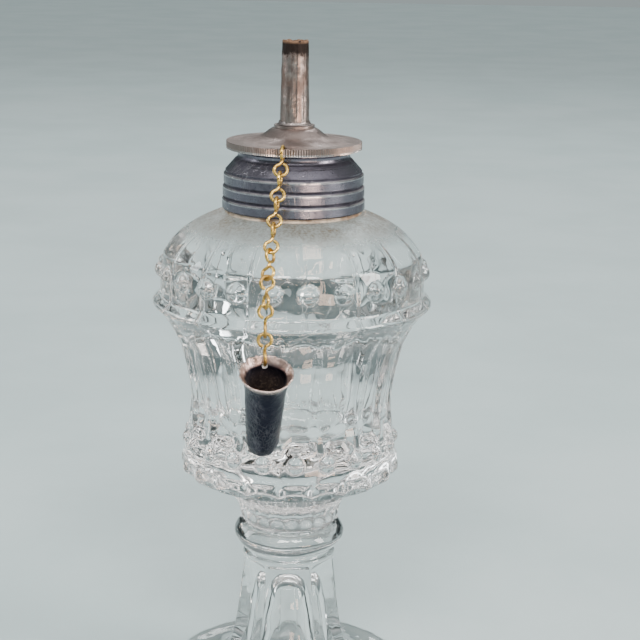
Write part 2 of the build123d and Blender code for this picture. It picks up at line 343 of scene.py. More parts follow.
@dataclass(frozen=True)
class Stretch:
    """One run of a turned profile, cut into even rows.

    Attributes:
        points: (radius, height) in millimetres, passed through smoothly.
        rows: Number of rows the run is cut into.
    """

    points: tuple[tuple[float, float], ...]
    rows: int

    def sample(self) -> list[tuple[float, float]]:
        """Cuts the run.

        Returns:
            The cut points, without the first.
        """
        knots = [Vector(p) for p in self.points]
        if len(knots) == 2:
            return [tuple(knots[0].lerp(knots[1], i / self.rows)) for i in range(1, self.rows + 1)]
        line: list[Vector] = []
        for i in range(len(knots) - 1):
            a, b = knots[max(i - 1, 0)], knots[i]
            c, d = knots[i + 1], knots[min(i + 2, len(knots) - 1)]
            span = (c - b).length
            before = (b - a).normalized() * span if i else (c - b)
            after = (d - c).normalized() * span if i + 2 < len(knots) else (c - b)
            into = (before + (c - b)) * 0.5
            out = (after + (c - b)) * 0.5
            for k in range(CURVE_STEPS):
                t = k / CURVE_STEPS
                h = (
                    2 * t**3 - 3 * t**2 + 1, t**3 - 2 * t**2 + t, -2 * t**3 + 3 * t**2, t**3 - t**2
                )
                line.append(b * h[0] + into * h[1] + c * h[2] + out * h[3])
        line.append(knots[-1])
        lengths = [0.0]
        for one, two in zip(line, line[1:]):
            lengths.append(lengths[-1] + (two - one).length)
        cut: list[tuple[float, float]] = []
        step = 0
        for row in range(1, self.rows + 1):
            goal = lengths[-1] * row / self.rows
            while step < len(line) - 2 and lengths[step + 1] < goal:
                step += 1
            share = (goal - lengths[step]) / max(lengths[step + 1] - lengths[step], 1e-9)
            cut.append(tuple(line[step].lerp(line[step + 1], min(share, 1.0))))
        return cut


def runs(start: tuple[float, float], *rest: tuple) -> tuple[Stretch, ...]:
    """Writes a profile as runs that each start where the last one ended.

    Args:
        start: The profile's first point, (radius, height) in millimetres.
        *rest: Number of rows and then the further points of each run.

    Returns:
        The runs.
    """
    made: list[Stretch] = []
    for rows, *points in rest:
        made.append(Stretch((start, *points), rows))
        start = points[-1]
    return tuple(made)


def profile_points(stretches: Sequence[Stretch]) -> list[tuple[float, float]]:
    """Joins runs end to end.

    Args:
        stretches: The runs, each starting where the last one ended.

    Returns:
        All cut points.
    """
    points = [tuple(stretches[0].points[0])]
    for stretch in stretches:
        points += stretch.sample()
    return points


def profile_object(name: str, points: Sequence[tuple[float, float]], base: float) -> Thing:
    """Makes a chain of edges that holds a turned profile.

    Args:
        name: The object's name.
        points: (radius, height) in millimetres.
        base: Height of the profile's zero, in metres.

    Returns:
        The object, linked to the scene.
    """
    mesh = bpy.data.meshes.new(name)
    mesh.from_pydata(
        [(r * MM, 0.0, base + z * MM) for r, z in points],
        [(i, i + 1) for i in range(len(points) - 1)],
        [],
    )
    return link(name, mesh)


@dataclass(frozen=True)
class Wall:
    """A plain turned wall, before a pattern is pressed into it.

    Attributes:
        graph: The graph to build in.
        given: The group's input node.
        turn: Angle round the axis.
        radius: Its radius.
        height: Its height.
    """

    graph: Graph
    given: Node
    turn: Socket
    radius: Socket
    height: Socket

    def parts(self) -> tuple[Graph, bpy.types.NodeOutputs, Socket, Socket, Socket]:
        """The graph, the group's named inputs, the turn, the radius and the height."""
        return self.graph, self.given.outputs, self.turn, self.radius, self.height

    def around(self) -> Node:
        """A vector node whose X and Y run round a circle with the wall."""
        spot = self.graph.add("ShaderNodeCombineXYZ")
        self.graph.feed(spot.inputs["X"], self.graph.math("SINE", self.turn))
        self.graph.feed(spot.inputs["Y"], self.graph.math("COSINE", self.turn))
        return spot


Relief = Callable[[Wall], tuple[Term, Term]]


@dataclass
class TurnedTree:
    """Geometry Nodes tree that turns a profile and presses a pattern into it.

    Attributes:
        name: The tree's name.
        extras: Named inputs of the pattern, with socket type and default.
        relief: Builds the pattern; it returns the new radius and the new height.
    """

    name: str
    extras: Sequence[tuple[str, str, object]]
    relief: Relief

    def build(self) -> Tree:
        """Builds the tree.

        Returns:
            The finished node tree.
        """
        inputs = [
            ("Profile", "NodeSocketGeometry", None),
            ("Columns", "NodeSocketInt", 432),
            ("Material", "NodeSocketMaterial", None),
            *self.extras,
        ]
        tree, graph, given, made = new_group(
            self.name, "GeometryNodeTree", inputs, [("Mesh", "NodeSocketGeometry")]
        )
        size = graph.node("GeometryNodeAttributeDomainSize", {0: given.outputs["Profile"]})
        rows = size.outputs["Point Count"]
        columns = graph.plus(given.outputs["Columns"], 1)
        grid = graph.node("GeometryNodeMeshGrid", {"Vertices X": columns, "Vertices Y": rows})
        index = graph.add("GeometryNodeInputIndex").outputs[0]
        column = graph.math("FLOOR", graph.over(graph.plus(index, 0.5), rows))
        row = graph.minus(index, graph.times(column, rows))
        turn = graph.times(graph.over(column, given.outputs["Columns"]), math.tau)
        sample = graph.node(
            "GeometryNodeSampleIndex",
            {
                "Geometry": given.outputs["Profile"],
                "Value": graph.add("GeometryNodeInputPosition").outputs[0],
                "Index": row,
            },
            data_type="FLOAT_VECTOR",
        )
        split = graph.node("ShaderNodeSeparateXYZ", {0: sample.outputs["Value"]})
        radius, height = self.relief(
            Wall(graph, given, turn, split.outputs["X"], split.outputs["Z"])
        )
        place = graph.node(
            "ShaderNodeCombineXYZ",
            {
                "X": graph.times(radius, graph.math("SINE", turn)),
                "Y": graph.times(graph.times(radius, -1.0), graph.math("COSINE", turn)),
                "Z": height,
            },
        )
        setter = graph.node(
            "GeometryNodeSetPosition",
            {"Geometry": grid.outputs["Mesh"], "Position": place.outputs[0]},
        )
        weld = graph.node(
            "GeometryNodeMergeByDistance", {"Geometry": setter.outputs[0], "Distance": WELD}
        )
        end_tree(graph, given, made, weld.outputs[0])
        return tree


def link(name: str, data: bpy.types.ID) -> Thing:
    """Makes an object and puts it in the scene.

    Args:
        name: The object's name.
        data: Its mesh, light or camera.

    Returns:
        The object.
    """
    made = bpy.data.objects.new(name, data)
    bpy.context.scene.collection.objects.link(made)
    return made


def keep_result(made: Thing) -> None:
    """Turns an object's modifiers into its plain mesh.

    Args:
        made: The object.
    """
    bpy.context.view_layer.update()
    graph = bpy.context.evaluated_depsgraph_get()
    mesh = bpy.data.meshes.new_from_object(made.evaluated_get(graph), depsgraph=graph)
    made.modifiers.clear()
    made.data = mesh


def convert(made: Thing, tree: Tree, values: dict[str, object]) -> Thing:
    """Runs a Geometry Nodes tree on an object and keeps the result as its mesh.

    Args:
        made: The object that holds the tree's input.
        tree: The tree to run.
        values: Value of each named input.

    Returns:
        The same object, with its finished mesh and no modifier.
    """
    modifier = made.modifiers.new("build", "NODES")
    modifier.node_group = tree
    for item in tree.interface.items_tree:
        if item.item_type == "SOCKET" and item.in_out == "INPUT" and item.name in values:
            modifier[item.identifier] = values[item.name]
    keep_result(made)
    return made


def phase(graph: Graph, turn: Term, count: Term, shift: Term) -> Socket:
    """Place within one repeat of a pattern that runs round the axis.

    Args:
        graph: The graph to build in.
        turn: Angle round the axis, in radians from the front.
        count: Number of repeats.
        shift: Degrees that the first repeat's middle is turned from the front.

    Returns:
        -0.5 to 0.5 across one repeat, 0 at its middle.
    """
    share = graph.minus(graph.over(turn, math.tau), graph.over(shift, 360.0))
    return graph.minus(graph.math("FRACT", graph.line(share, count, 0.5)), 0.5)


def hollow_arc(graph: Graph, place: Term) -> Socket:
    """A hollow between two cusps: 1 in the middle of a repeat and 0 at its ends.

    Args:
        graph: The graph to build in.
        place: Place within the repeat.

    Returns:
        The hollow's share of its full depth.
    """
    return graph.minus(1.0, graph.times(graph.times(place, place), 4.0))


def bead_row(
    graph: Graph, turn: Term, radius: Term, height: Term, count: Term, shift: Term, ring: Term,
    level: Term, size: Term,
) -> Socket:
    """Raises a row of round beads on a wall.

    Args:
        graph: The graph to build in.
        turn: Angle round the axis.
        radius: The wall's radius.
        height: The wall's height.
        count: Number of beads.
        shift: Degrees that the first bead is turned from the front.
        ring: Radius of the circle through the bead centres.
        level: Height of the bead centres.
        size: Radius of one bead.

    Returns:
        The wall's new radius.
    """
    along = graph.times(
        phase(graph, turn, count, shift), graph.over(graph.times(ring, math.tau), count)
    )
    up = graph.minus(height, level)
    far = graph.plus(graph.times(along, along), graph.times(up, up))
    room = graph.minus(graph.times(size, size), far)
    ball = graph.plus(ring, graph.math("SQRT", graph.most(room, 0.0)))
    on_wall = graph.times(
        graph.math("GREATER_THAN", room, 0.0), graph.math("GREATER_THAN", radius, RESERVOIR_WALL)
    )
    return graph.math("SMOOTH_MAX", radius, graph.times(ball, on_wall), BEAD_FILLET)


def press_font(plain: Wall) -> tuple[Term, Term]:
    """Presses panels, beads, scallops and flutes into the reservoir's outside.

    Args:
        plain: The plain wall.

    Returns:
        The pressed radius and height.
    """
    graph, ask, turn, radius, height = plain.parts()
    outside = graph.math("GREATER_THAN", radius, RESERVOIR_WALL)
    panel = graph.math("ABSOLUTE", phase(graph, turn, ask["Panels"], ask["Panel Shift"]))
    rise = graph.minus(ask["Arch Top"], ask["Arch Spring"])
    over = graph.most(graph.over(graph.minus(height, ask["Arch Spring"]), rise), 0.0)
    arch = graph.math("SQRT", graph.most(graph.minus(1.0, graph.times(over, over)), 0.0004))
    across = graph.over(panel, graph.times(arch, ask["Panel Half Width"]))
    cup = graph.ramp(across, 1.0, 0.45)
    bowl = graph.most(graph.minus(1.0, graph.times(across, across)), 0.0)
    panel_run = graph.times(
        graph.ramp(height, ask["Panel Foot"], graph.plus(ask["Panel Foot"], 0.003)), outside
    )
    hollow = graph.times(graph.line(cup, 0.55, graph.times(bowl, 0.45)), panel_run)
    border = graph.band(across, *PANEL_BORDER)
    border = graph.times(
        graph.times(border, panel_run),
        graph.ramp(height, ask["Arch Top"], graph.plus(ask["Arch Top"], 0.0012), 1.0, 0.0),
    )
    wall = graph.minus(radius, graph.times(hollow, ask["Panel Depth"]))
    wall = graph.line(border, ask["Border Height"], wall)
    wall = bead_row(
        graph, turn, wall, height, ask["Beads"], ask["Bead Shift"], ask["Bead Ring"],
        ask["Bead Level"], ask["Bead Radius"],
    )
    wall = bead_row(
        graph, turn, wall, height, ask["Lobes"], ask["Skirt Shift"], ask["Skirt Ring"],
        ask["Skirt Level"], ask["Skirt Bead Radius"],
    )
    dip = hollow_arc(graph, phase(graph, turn, ask["Lobes"], ask["Skirt Shift"]))
    flute = graph.times(graph.band(height, *FUNNEL_FLUTES), ask["Flute Depth"])
    scallop = graph.times(graph.band(height, *SKIRT_EDGE), ask["Scallop Depth"])
    wall = graph.minus(wall, graph.times(dip, graph.plus(flute, scallop)))
    lift = graph.times(graph.times(dip, ask["Scallop Rise"]), graph.band(height, *SKIRT_UNDERSIDE))
    return wall, graph.plus(height, lift)


def press_stem(plain: Wall) -> tuple[Term, Term]:
    """Presses flat panels into the stem between the foot and its top ring.

    Args:
        plain: The plain wall; its radius is the corners' radius.

    Returns:
        The pressed radius and height.
    """
    graph, ask, turn, radius, height = plain.parts()
    place = phase(graph, turn, ask["Sides"], 0.0)
    half = graph.over(math.pi, ask["Sides"])
    flat = graph.over(
        graph.math("COSINE", half), graph.math("COSINE", graph.times(place, graph.times(half, 2.0)))
    )
    outside = graph.math("GREATER_THAN", radius, STEM_WALL)
    run = graph.times(graph.times(graph.band(height, *STEM_FLATS), outside), ask["Sharpness"])
    return graph.times(radius, graph.line(graph.minus(flat, 1.0), run, 1.0)), height


def press_nothing(plain: Wall) -> tuple[Term, Term]:
    """Leaves a turned piece round, with the slight waver of hand-worked glass.

    Args:
        plain: The plain wall.

    Returns:
        The radius and the height.
    """
    graph, ask, turn, radius, height = plain.parts()
    low = graph.times(graph.math("SINE", graph.line(turn, 2.0, 0.7)), ask["Waver"])
    keep = graph.band(height, *WAFER_EDGE)
    return graph.line(low, keep, radius), height


def press_tube(plain: Wall) -> tuple[Term, Term]:
    """Dents the wick tube, tears its rim and lays a lapped seam along it.

    Args:
        plain: The plain wall.

    Returns:
        The dented radius and height.
    """
    graph, ask, turn, radius, height = plain.parts()
    spot = plain.around()
    graph.feed(spot.inputs["Z"], graph.times(height, 260.0))
    dent = graph.minus(graph.noise(1.3, 3.0, 0.5, spot.outputs[0]), 0.5)
    open_end = graph.ramp(height, ask["Boss"], graph.plus(ask["Boss"], 0.006))
    wall = graph.line(graph.times(dent, open_end), ask["Dent"], radius)
    above = graph.most(graph.minus(height, ask["Boss"]), 0.0)
    middle = graph.minus(ask["Wall Middle"], graph.times(above, ask["Taper"]))
    back = graph.math("ABSOLUTE", phase(graph, turn, 1.0, ask["Seam Turn"]))
    lap = graph.times(
        graph.ramp(back, *LAP_EDGE),
        graph.times(open_end, graph.math("GREATER_THAN", radius, middle)),
    )
    wall = graph.line(lap, ask["Lap"], wall)
    edge = plain.around()
    torn = graph.minus(graph.noise(1.2, 3.0, 0.55, edge.outputs[0]), 0.72)
    near = graph.ramp(height, graph.minus(ask["Mouth"], 0.004), ask["Mouth"])
    drop = graph.times(graph.math("MINIMUM", torn, 0.0), graph.times(near, ask["Tear"]))
    return wall, graph.plus(height, drop)


def press_braid(plain: Wall) -> tuple[Term, Term]:
    """Winds crossing strands round the wick.

    Args:
        plain: The plain wall.

    Returns:
        The braided radius and height.
    """
    graph, ask, turn, radius, height = plain.parts()
    lead = graph.times(height, graph.over(math.tau, ask["Lead"]))
    right = graph.math("SINE", graph.line(turn, ask["Strands"], lead))
    left = graph.math("SINE", graph.minus(graph.times(turn, ask["Strands"]), lead))
    over = graph.times(right, left)
    side = graph.ramp(radius, *BRAID_SIDE)
    return graph.minus(
        radius, graph.times(graph.line(over, 0.5, 0.5), graph.times(side, ask["Strand Height"]))
    ), height


def press_cap(plain: Wall) -> tuple[Term, Term]:
    """Knocks small dents into the snuffer and roughens its lip.

    Args:
        plain: The plain wall; its height is 0 at the mouth.

    Returns:
        The dented radius and height.
    """
    graph, ask, _, radius, height = plain.parts()
    spot = plain.around()
    graph.feed(spot.inputs["Z"], graph.times(height, 190.0))
    dent = graph.minus(graph.noise(1.4, 4.0, 0.6, spot.outputs[0]), 0.5)
    size = graph.times(graph.ramp(radius, 0.0004, 0.003), ask["Dent"])
    rim = graph.ramp(height, *SNUFFER_LIP)
    nick = graph.minus(graph.noise(5.5, 4.0, 0.65, spot.outputs[0]), 0.5)
    wall = graph.line(dent, size, radius)
    wall = graph.line(graph.times(nick, rim), ask["Nick"], wall)
    drop = graph.math("MINIMUM", graph.times(graph.minus(nick, 0.10), rim), 0.0)
    return wall, graph.line(drop, ask["Nick"], height)


class Effects:
    """Shader node groups that more than one finish uses."""

    def __init__(self) -> None:
        """Builds every group once."""
        self.place = self._place()
        self.rings = self._rings()
        self.mottle = self._mottle()
        self.scratches = self._scratches()
        self.pits = self._pits()

    def _place(self) -> Tree:
        """Where a point lies in the frame of a turned piece.

        Returns:
            The group.
        """
        tree, graph, given, made = new_group(
            "turned_place",
            "ShaderNodeTree",
            [
                ("Centre", "NodeSocketVector", (0.0, 0.0, 0.0)),
                ("Axis", "NodeSocketVector", (0.0, 0.0, 1.0)),
            ],
            [
                ("Along", "NodeSocketFloat"),
                ("Radius", "NodeSocketFloat"),
                ("Spot", "NodeSocketVector"),
            ],
        )
        spot = graph.vector(
            "SUBTRACT", graph.add("ShaderNodeTexCoord").outputs["Object"], given.outputs["Centre"]
        ).outputs[0]
        along = graph.vector("DOT_PRODUCT", spot, given.outputs["Axis"]).outputs["Value"]
        rise = graph.vector("SCALE", given.outputs["Axis"])
        graph.feed(rise.inputs["Scale"], along)
        flat = graph.vector("SUBTRACT", spot, rise.outputs[0]).outputs[0]
        graph.feed(made.inputs["Along"], along)
        graph.feed(made.inputs["Radius"], graph.vector("LENGTH", flat).outputs["Value"])
        graph.feed(made.inputs["Spot"], spot)
        return tree

    def _rings(self) -> Tree:
        """Fine tool lines that run round a turned piece.

        Returns:
            The group.
        """
        tree, graph, given, made = new_group(
            "tool_lines",
            "ShaderNodeTree",
            [number("Along", 0.0), number("Radius", 0.0), number("Lines", 4000.0)],
            [("Value", "NodeSocketFloat")],
        )
        key = graph.node(
            "ShaderNodeCombineXYZ", {"X": given.outputs["Along"], "Y": given.outputs["Radius"]}
        )
        graph.feed(
            made.inputs["Value"], graph.noise(given.outputs["Lines"], 2.0, 0.6, key.outputs[0])
        )
        return tree

    def _mottle(self) -> Tree:
        """Soft uneven patches, such as patina, stain or dust.

        Returns:
            The group.
        """
        tree, graph, given, made = new_group(
            "mottle",
            "ShaderNodeTree",
            [
                ("Spot", "NodeSocketVector", (0.0, 0.0, 0.0)),
                number("Scale", 100.0),
                number("Low", 0.4),
                number("High", 0.6),
            ],
            [("Mask", "NodeSocketFloat")],
        )
        value = graph.noise(given.outputs["Scale"], 6.0, 0.6, given.outputs["Spot"])
        graph.feed(
            made.inputs["Mask"], graph.ramp(value, given.outputs["Low"], given.outputs["High"])
        )
        return tree

    def _scratches(self) -> Tree:
        """Thin crossing scratches.

        Returns:
            The group.
        """
        tree, graph, given, made = new_group(
            "scratches",
            "ShaderNodeTree",
            [
                ("Spot", "NodeSocketVector", (0.0, 0.0, 0.0)),
                number("Scale", 200.0),
                number("Width", 0.012),
            ],
            [("Mask", "NodeSocketFloat")],
        )
        lines: list[Socket] = []
        for tilt, stretch in (
            (0.5, (1.0, 0.9, 0.14)), (-0.8, (0.9, 1.0, 0.2)), (1.4, (1.0, 1.0, 0.3))
        ):
            turn = graph.node(
                "ShaderNodeMapping",
                {
                    "Vector": given.outputs["Spot"],
                    "Rotation": (tilt, tilt * 0.6, tilt * 0.3),
                    "Scale": stretch,
                },
            )
            value = graph.noise(given.outputs["Scale"], 1.0, 0.5, turn.outputs[0])
            off = graph.math("ABSOLUTE", graph.minus(value, 0.5))
            lines.append(graph.ramp(off, 0.0, given.outputs["Width"], 1.0, 0.0))
        both = graph.most(graph.most(lines[0], lines[1]), lines[2])
        patch = graph.ramp(graph.noise(90.0, 3.0, 0.5, given.outputs["Spot"]), 0.48, 0.62)
        graph.feed(made.inputs["Mask"], graph.times(both, patch))
        return tree

    def _pits(self) -> Tree:
        """Small round pits or specks, some present and some not.

        Returns:
            The group.
        """
        tree, graph, given, made = new_group(
            "specks",
            "ShaderNodeTree",
            [
                ("Spot", "NodeSocketVector", (0.0, 0.0, 0.0)),
                number("Scale", 900.0),
                number("Share", 0.3),
            ],
            [("Mask", "NodeSocketFloat")],
        )
        cell = graph.node(
            "ShaderNodeTexVoronoi",
            {"Vector": given.outputs["Spot"], "Scale": given.outputs["Scale"]},
        )
        split = graph.node("ShaderNodeSeparateXYZ", {0: cell.outputs["Color"]})
        chosen = graph.math("LESS_THAN", split.outputs[0], given.outputs["Share"])
        size = graph.line(split.outputs[1], 0.22, 0.10)
        graph.feed(
            made.inputs["Mask"],
            graph.times(
                graph.ramp(graph.minus(cell.outputs["Distance"], size), -0.08, 0.0, 1.0, 0.0),
                chosen,
            ),
        )
        return tree


class Shade(Graph):
    """Node tree of one material."""

    def __init__(self, name: str, effects: Effects, **plain: float) -> None:
        """Starts a material with its shader.

        Args:
            name: The material's name.
            effects: The shared groups.
            **plain: Constant values of the shader, with _ for a space in the name.
        """
        self.material = bpy.data.materials.new(name)
        self.material.use_nodes = True
        super().__init__(self.material.node_tree)
        self.effects = effects
        self.shader = next(node for node in self.tree.nodes if node.type == "BSDF_PRINCIPLED")
        for key, value in plain.items():
            self.shader.inputs[key.replace("_", " ")].default_value = value

    def group(self, tree: Tree, **values: object) -> Node:
        """Places a shared group.

        Args:
            tree: The group.
            **values: Its inputs.

        Returns:
            The group node.
        """
        node = self.add("ShaderNodeGroup", node_tree=tree)
        for key, value in values.items():
            self.feed(node.inputs[key], value)
        return node

    def place(
        self, centre: Sequence[float] = (0.0, 0.0, 0.0), axis: Sequence[float] = (0.0, 0.0, 1.0)
    ) -> tuple[Socket, Socket, Socket]:
        """Coordinates in a turned piece's frame.

        Args:
            centre: A point on the axis.
            axis: The axis direction.

        Returns:
            Distance along the axis, distance from it, and the point itself.
        """
        node = self.group(self.effects.place, Centre=tuple(centre), Axis=tuple(axis))
        return node.outputs["Along"], node.outputs["Radius"], node.outputs["Spot"]

    def mottle(self, spot: Socket, scale: float, low: float, high: float) -> Socket:
        """Soft patches.

        Args:
            spot: Coordinates.
            scale: Patches per metre.
            low: Where the mask starts.
            high: Where the mask is full.

        Returns:
            The mask.
        """
        return self.group(
            self.effects.mottle, Spot=spot, Scale=scale, Low=low, High=high
        ).outputs[0]

    def veil(self, mask: Term, share: float, low: object, high: object) -> Socket:
        """Lays a colour over another by a share of a mask."""
        return self.tint(self.times(mask, share), low, high)

    def levels(self, along: Socket, heights: Sequence[float], half: float, soft: float) -> Term:
        """A mask of narrow bands at several heights.

        Args:
            along: Height of the shaded point.
            heights: The bands' middles.
            half: Half of a band's width.
            soft: Width of its soft edges.

        Returns:
            The mask.
        """
        mask: Term = 0.0
        for level in heights:
            mask = self.most(mask, self.band(along, level - half, level + half, soft))
        return mask

    def specks(self, spot: Socket, scale: float, share: float) -> Socket:
        """Small round pits or specks at a number per metre, of which a share is present."""
        return self.group(self.effects.pits, Spot=spot, Scale=scale, Share=share).outputs[0]

    def scratches(self, spot: Socket, scale: float, width: float) -> Socket:
        """Thin scratches at a number per metre."""
        return self.group(self.effects.scratches, Spot=spot, Scale=scale, Width=width).outputs[0]

    def bump(
        self, height: Term, distance: float, below: Socket | None = None, strength: float = 1.0
    ) -> Socket:
        """Raises the surface in shading only.

        Args:
            height: The height mask.
            distance: Height of a mask value of 1, in metres.
            below: A bump that this one lies on.
            strength: How much of the bump shows.

        Returns:
            The bumped normal.
        """
        node = self.node(
            "ShaderNodeBump", {"Distance": distance, "Strength": strength, "Height": height}
        )
        if below is not None:
            self.feed(node.inputs["Normal"], below)
        return node.outputs["Normal"]

    def finish(self, colour: object, roughness: Term, normal: Socket) -> Material:
        """Joins the results to the shader.

        Args:
            colour: Base colour.
            roughness: Roughness.
            normal: Normal.

        Returns:
            The finished material.
        """
        self.feed(self.shader.inputs["Base Color"], colour)
        self.feed(self.shader.inputs["Roughness"], roughness)
        self.feed(self.shader.inputs["Normal"], normal)
        return self.material


@dataclass(frozen=True)
class GlassFinish:
    """Clear old pressed glass with dried fuel and dust on the shoulder.

    Attributes:
        name: The material's name.
        ior: Refraction of flint glass.
        clear: Colour of the clean surface.
        residue: Colour of the brown film.
        film_low: Height where the film starts.
        film_high: Height where the film is full.
        film_top: Heights over which the film ends under the collar.
        film_rough: Roughness of the full film.
    """

    name: str = "flint_glass_clear"
    ior: float = 1.53
    clear: Colour = (0.985, 0.985, 0.98, 1.0)
    residue: Colour = (0.17, 0.078, 0.026, 1.0)
    film_low: float = 0.1290
    film_high: float = 0.1345
    film_top: tuple[float, float] = (0.1385, 0.1395)
    film_rough: float = 0.62

    def build(self, effects: Effects) -> Material:
        """Builds the material.

        Args:
            effects: The shared groups.

        Returns:
            The material.
        """
        shade = Shade(self.name, effects, IOR=self.ior, Transmission_Weight=1.0, Metallic=0.0)
        along, _, spot = shade.place()
        film = shade.ramp(along, self.film_low, self.film_high)
        film = shade.times(film, shade.ramp(along, *self.film_top, 1.0, 0.0))
        grain = shade.mottle(spot, 1400.0, 0.40, 0.62)
        cloud = shade.mottle(spot, 95.0, 0.34, 0.60)
        film = shade.times(film, shade.line(grain, 0.22, shade.line(cloud, 0.23, 0.55)))
        specks = shade.specks(spot, 620.0, 0.05)
        dark_marks = shade.times(specks, shade.ramp(along, 0.060, 0.140, 0.05, 0.55))
        mask = shade.most(film, dark_marks)
        colour = shade.tint(mask, self.clear, self.residue)
        haze = shade.mottle(spot, 60.0, 0.42, 0.75)
        rough = shade.line(mask, self.film_rough, shade.times(haze, 0.03))
        wave = shade.noise(70.0, 2.0, 0.45, spot)
        normal = shade.bump(wave, 0.0011)
        normal = shade.bump(shade.times(film, grain), 0.00006, normal)
        return shade.finish(colour, rough, normal)


@dataclass(frozen=True)
class PewterFinish:
    """Turned pewter with tool lines, patina, bruises, bright worn edges that also carry a painted
    highlight, and painted shade in the grooves.

    Attributes:
        name: The material's name.
        bright: Colour of rubbed metal, also of the painted highlight on the edges.
        base: Colour of the aged metal.
        dark: Colour of the patina, also of the painted shade in the grooves.
        rough: Roughness of the aged metal.
        edges: Heights of edges that hands have rubbed, in metres, whose bright bands are also a
            painted highlight.
        grooves: Heights of grooves, in metres, darkened with painted shade as well as dirt.
        lines: Tool lines per metre.
        patina_low: Where the patina mask starts.
        patina_high: Where the patina mask is full.
    """

    name: str
    bright: Colour = (0.60, 0.57, 0.57, 1.0)
    base: Colour = (0.165, 0.155, 0.185, 1.0)
    dark: Colour = (0.040, 0.036, 0.050, 1.0)
    rough: float = 0.27
    edges: tuple[float, ...] = ()
    grooves: tuple[float, ...] = ()
    lines: float = 2600.0
    patina_low: float = 0.46
    patina_high: float = 0.70

    def build(self, effects: Effects) -> Material:
        """Builds the material.

        Args:
            effects: The shared groups.

        Returns:
            The material.
        """
        shade = Shade(self.name, effects, Metallic=1.0)
        along, radius, spot = shade.place()
        lines = shade.group(effects.rings, Along=along, Radius=radius, Lines=self.lines).outputs[0]
        patina = shade.mottle(spot, 130.0, self.patina_low, self.patina_high)
        fine = shade.mottle(spot, 900.0, 0.42, 0.62)
        scratch = shade.scratches(spot, 420.0, 0.010)
        pits = shade.specks(spot, 1100.0, 0.22)
        # bright bands at the edges: rubbed wear together with a painted highlight
        edge_wear_and_highlight = shade.levels(along, self.edges, 0.00012, 0.00035)
        edge_wear_and_highlight = shade.times(edge_wear_and_highlight, shade.mottle(spot, 260.0, 0.30, 0.55))
        # dark bands at the grooves: dirt together with painted shade
        dark_marks = shade.levels(along, self.grooves, 0.0002, 0.0006)
        dark_marks = shade.times(dark_marks, shade.mottle(spot, 200.0, 0.25, 0.60))
        colour = shade.veil(lines, 0.55, self.base, shade.tint(0.5, self.base, self.dark))
        colour = shade.tint(shade.times(patina, shade.line(fine, 0.35, 0.40)), colour, self.dark)
        colour = shade.veil(dark_marks, 0.75, colour, self.dark)
        colour = shade.veil(pits, 0.55, colour, self.dark)
        colour = shade.tint(
            shade.most(shade.times(scratch, 0.30), shade.times(edge_wear_and_highlight, 0.55)), colour, self.bright
        )
        rough = shade.line(patina, 0.22, self.rough)
        rough = shade.line(dark_marks, 0.25, rough)
        rough = shade.minus(rough, shade.times(edge_wear_and_highlight, 0.14))
        normal = shade.bump(lines, 0.000035)
        normal = shade.bump(shade.noise(320.0, 3.0, 0.5, spot), 0.00010, normal)
        normal = shade.bump(shade.most(pits, scratch), -0.000025, normal)
        return shade.finish(colour, rough, normal)


@dataclass(frozen=True)
class SnufferFinish:
    """Scratched blue-black pewter with a rubbed lip and a sooty inside.

    Attributes:
        name: The material's name.
        centre: Middle of the mouth.
        axis: Direction the mouth faces.
        lip: Colour of the rubbed lip.
        body: Colour of the outside.
        soot: Colour of the inside.
        worn: Colour of the outside's rubbed patches.
        scored: Colour of its scratches.
        crust: Colour of the crumbs inside.
    """

    name: str
    centre: tuple[float, float, float]
    axis: tuple[float, float, float]
    lip: Colour = (0.62, 0.47, 0.42, 1.0)
    body: Colour = (0.018, 0.018, 0.029, 1.0)
    soot: Colour = (0.028, 0.016, 0.010, 1.0)
    worn: Colour = (0.085, 0.080, 0.10, 1.0)
    scored: Colour = (0.30, 0.27, 0.28, 1.0)
    crust: Colour = (0.16, 0.10, 0.065, 1.0)

    def build(self, effects: Effects) -> Material:
        """Builds the material.

        Args:
            effects: The shared groups.

        Returns:
            The material.
        """
        shade = Shade(self.name, effects, Metallic=1.0)
        along, radius, spot = shade.place(self.centre, self.axis)
        wall = shade.line(along, 0.055, 0.0049)
        inner = shade.ramp(shade.minus(radius, wall), -0.0005, 0.0002, 1.0, 0.0)
        deep = shade.ramp(along, -0.0012, -0.0004, 1.0, 0.0)
        inside = shade.times(inner, deep)
        lip = shade.ramp(along, -0.0024, -0.0008)
        rub = shade.mottle(spot, 420.0, 0.30, 0.58)
        lip = shade.times(lip, shade.line(rub, 0.65, 0.35))
        scratch = shade.scratches(spot, 640.0, 0.022)
        pits = shade.specks(spot, 1500.0, 0.30)
        patch = shade.mottle(spot, 190.0, 0.46, 0.66)
        colour = shade.veil(patch, 0.5, self.body, self.worn)
        colour = shade.veil(scratch, 0.22, colour, self.scored)
        colour = shade.tint(lip, colour, self.lip)
        colour = shade.veil(pits, 0.5, colour, self.soot)
        crumbs = shade.mottle(spot, 1300.0, 0.50, 0.72)
        grime = shade.veil(crumbs, 0.6, self.soot, self.crust)
        colour = shade.tint(inside, colour, grime)
        rough = shade.line(patch, 0.16, 0.30)
        rough = shade.line(inside, 0.45, rough)
        normal = shade.bump(shade.noise(260.0, 4.0, 0.6, spot), 0.00028)
        normal = shade.bump(shade.most(pits, scratch), -0.00004, normal)
        normal = shade.bump(shade.times(crumbs, inside), 0.00020, normal)
        shade.feed(shade.shader.inputs["Metallic"], shade.line(inside, -0.85, 1.0))
        return shade.finish(colour, rough, normal)


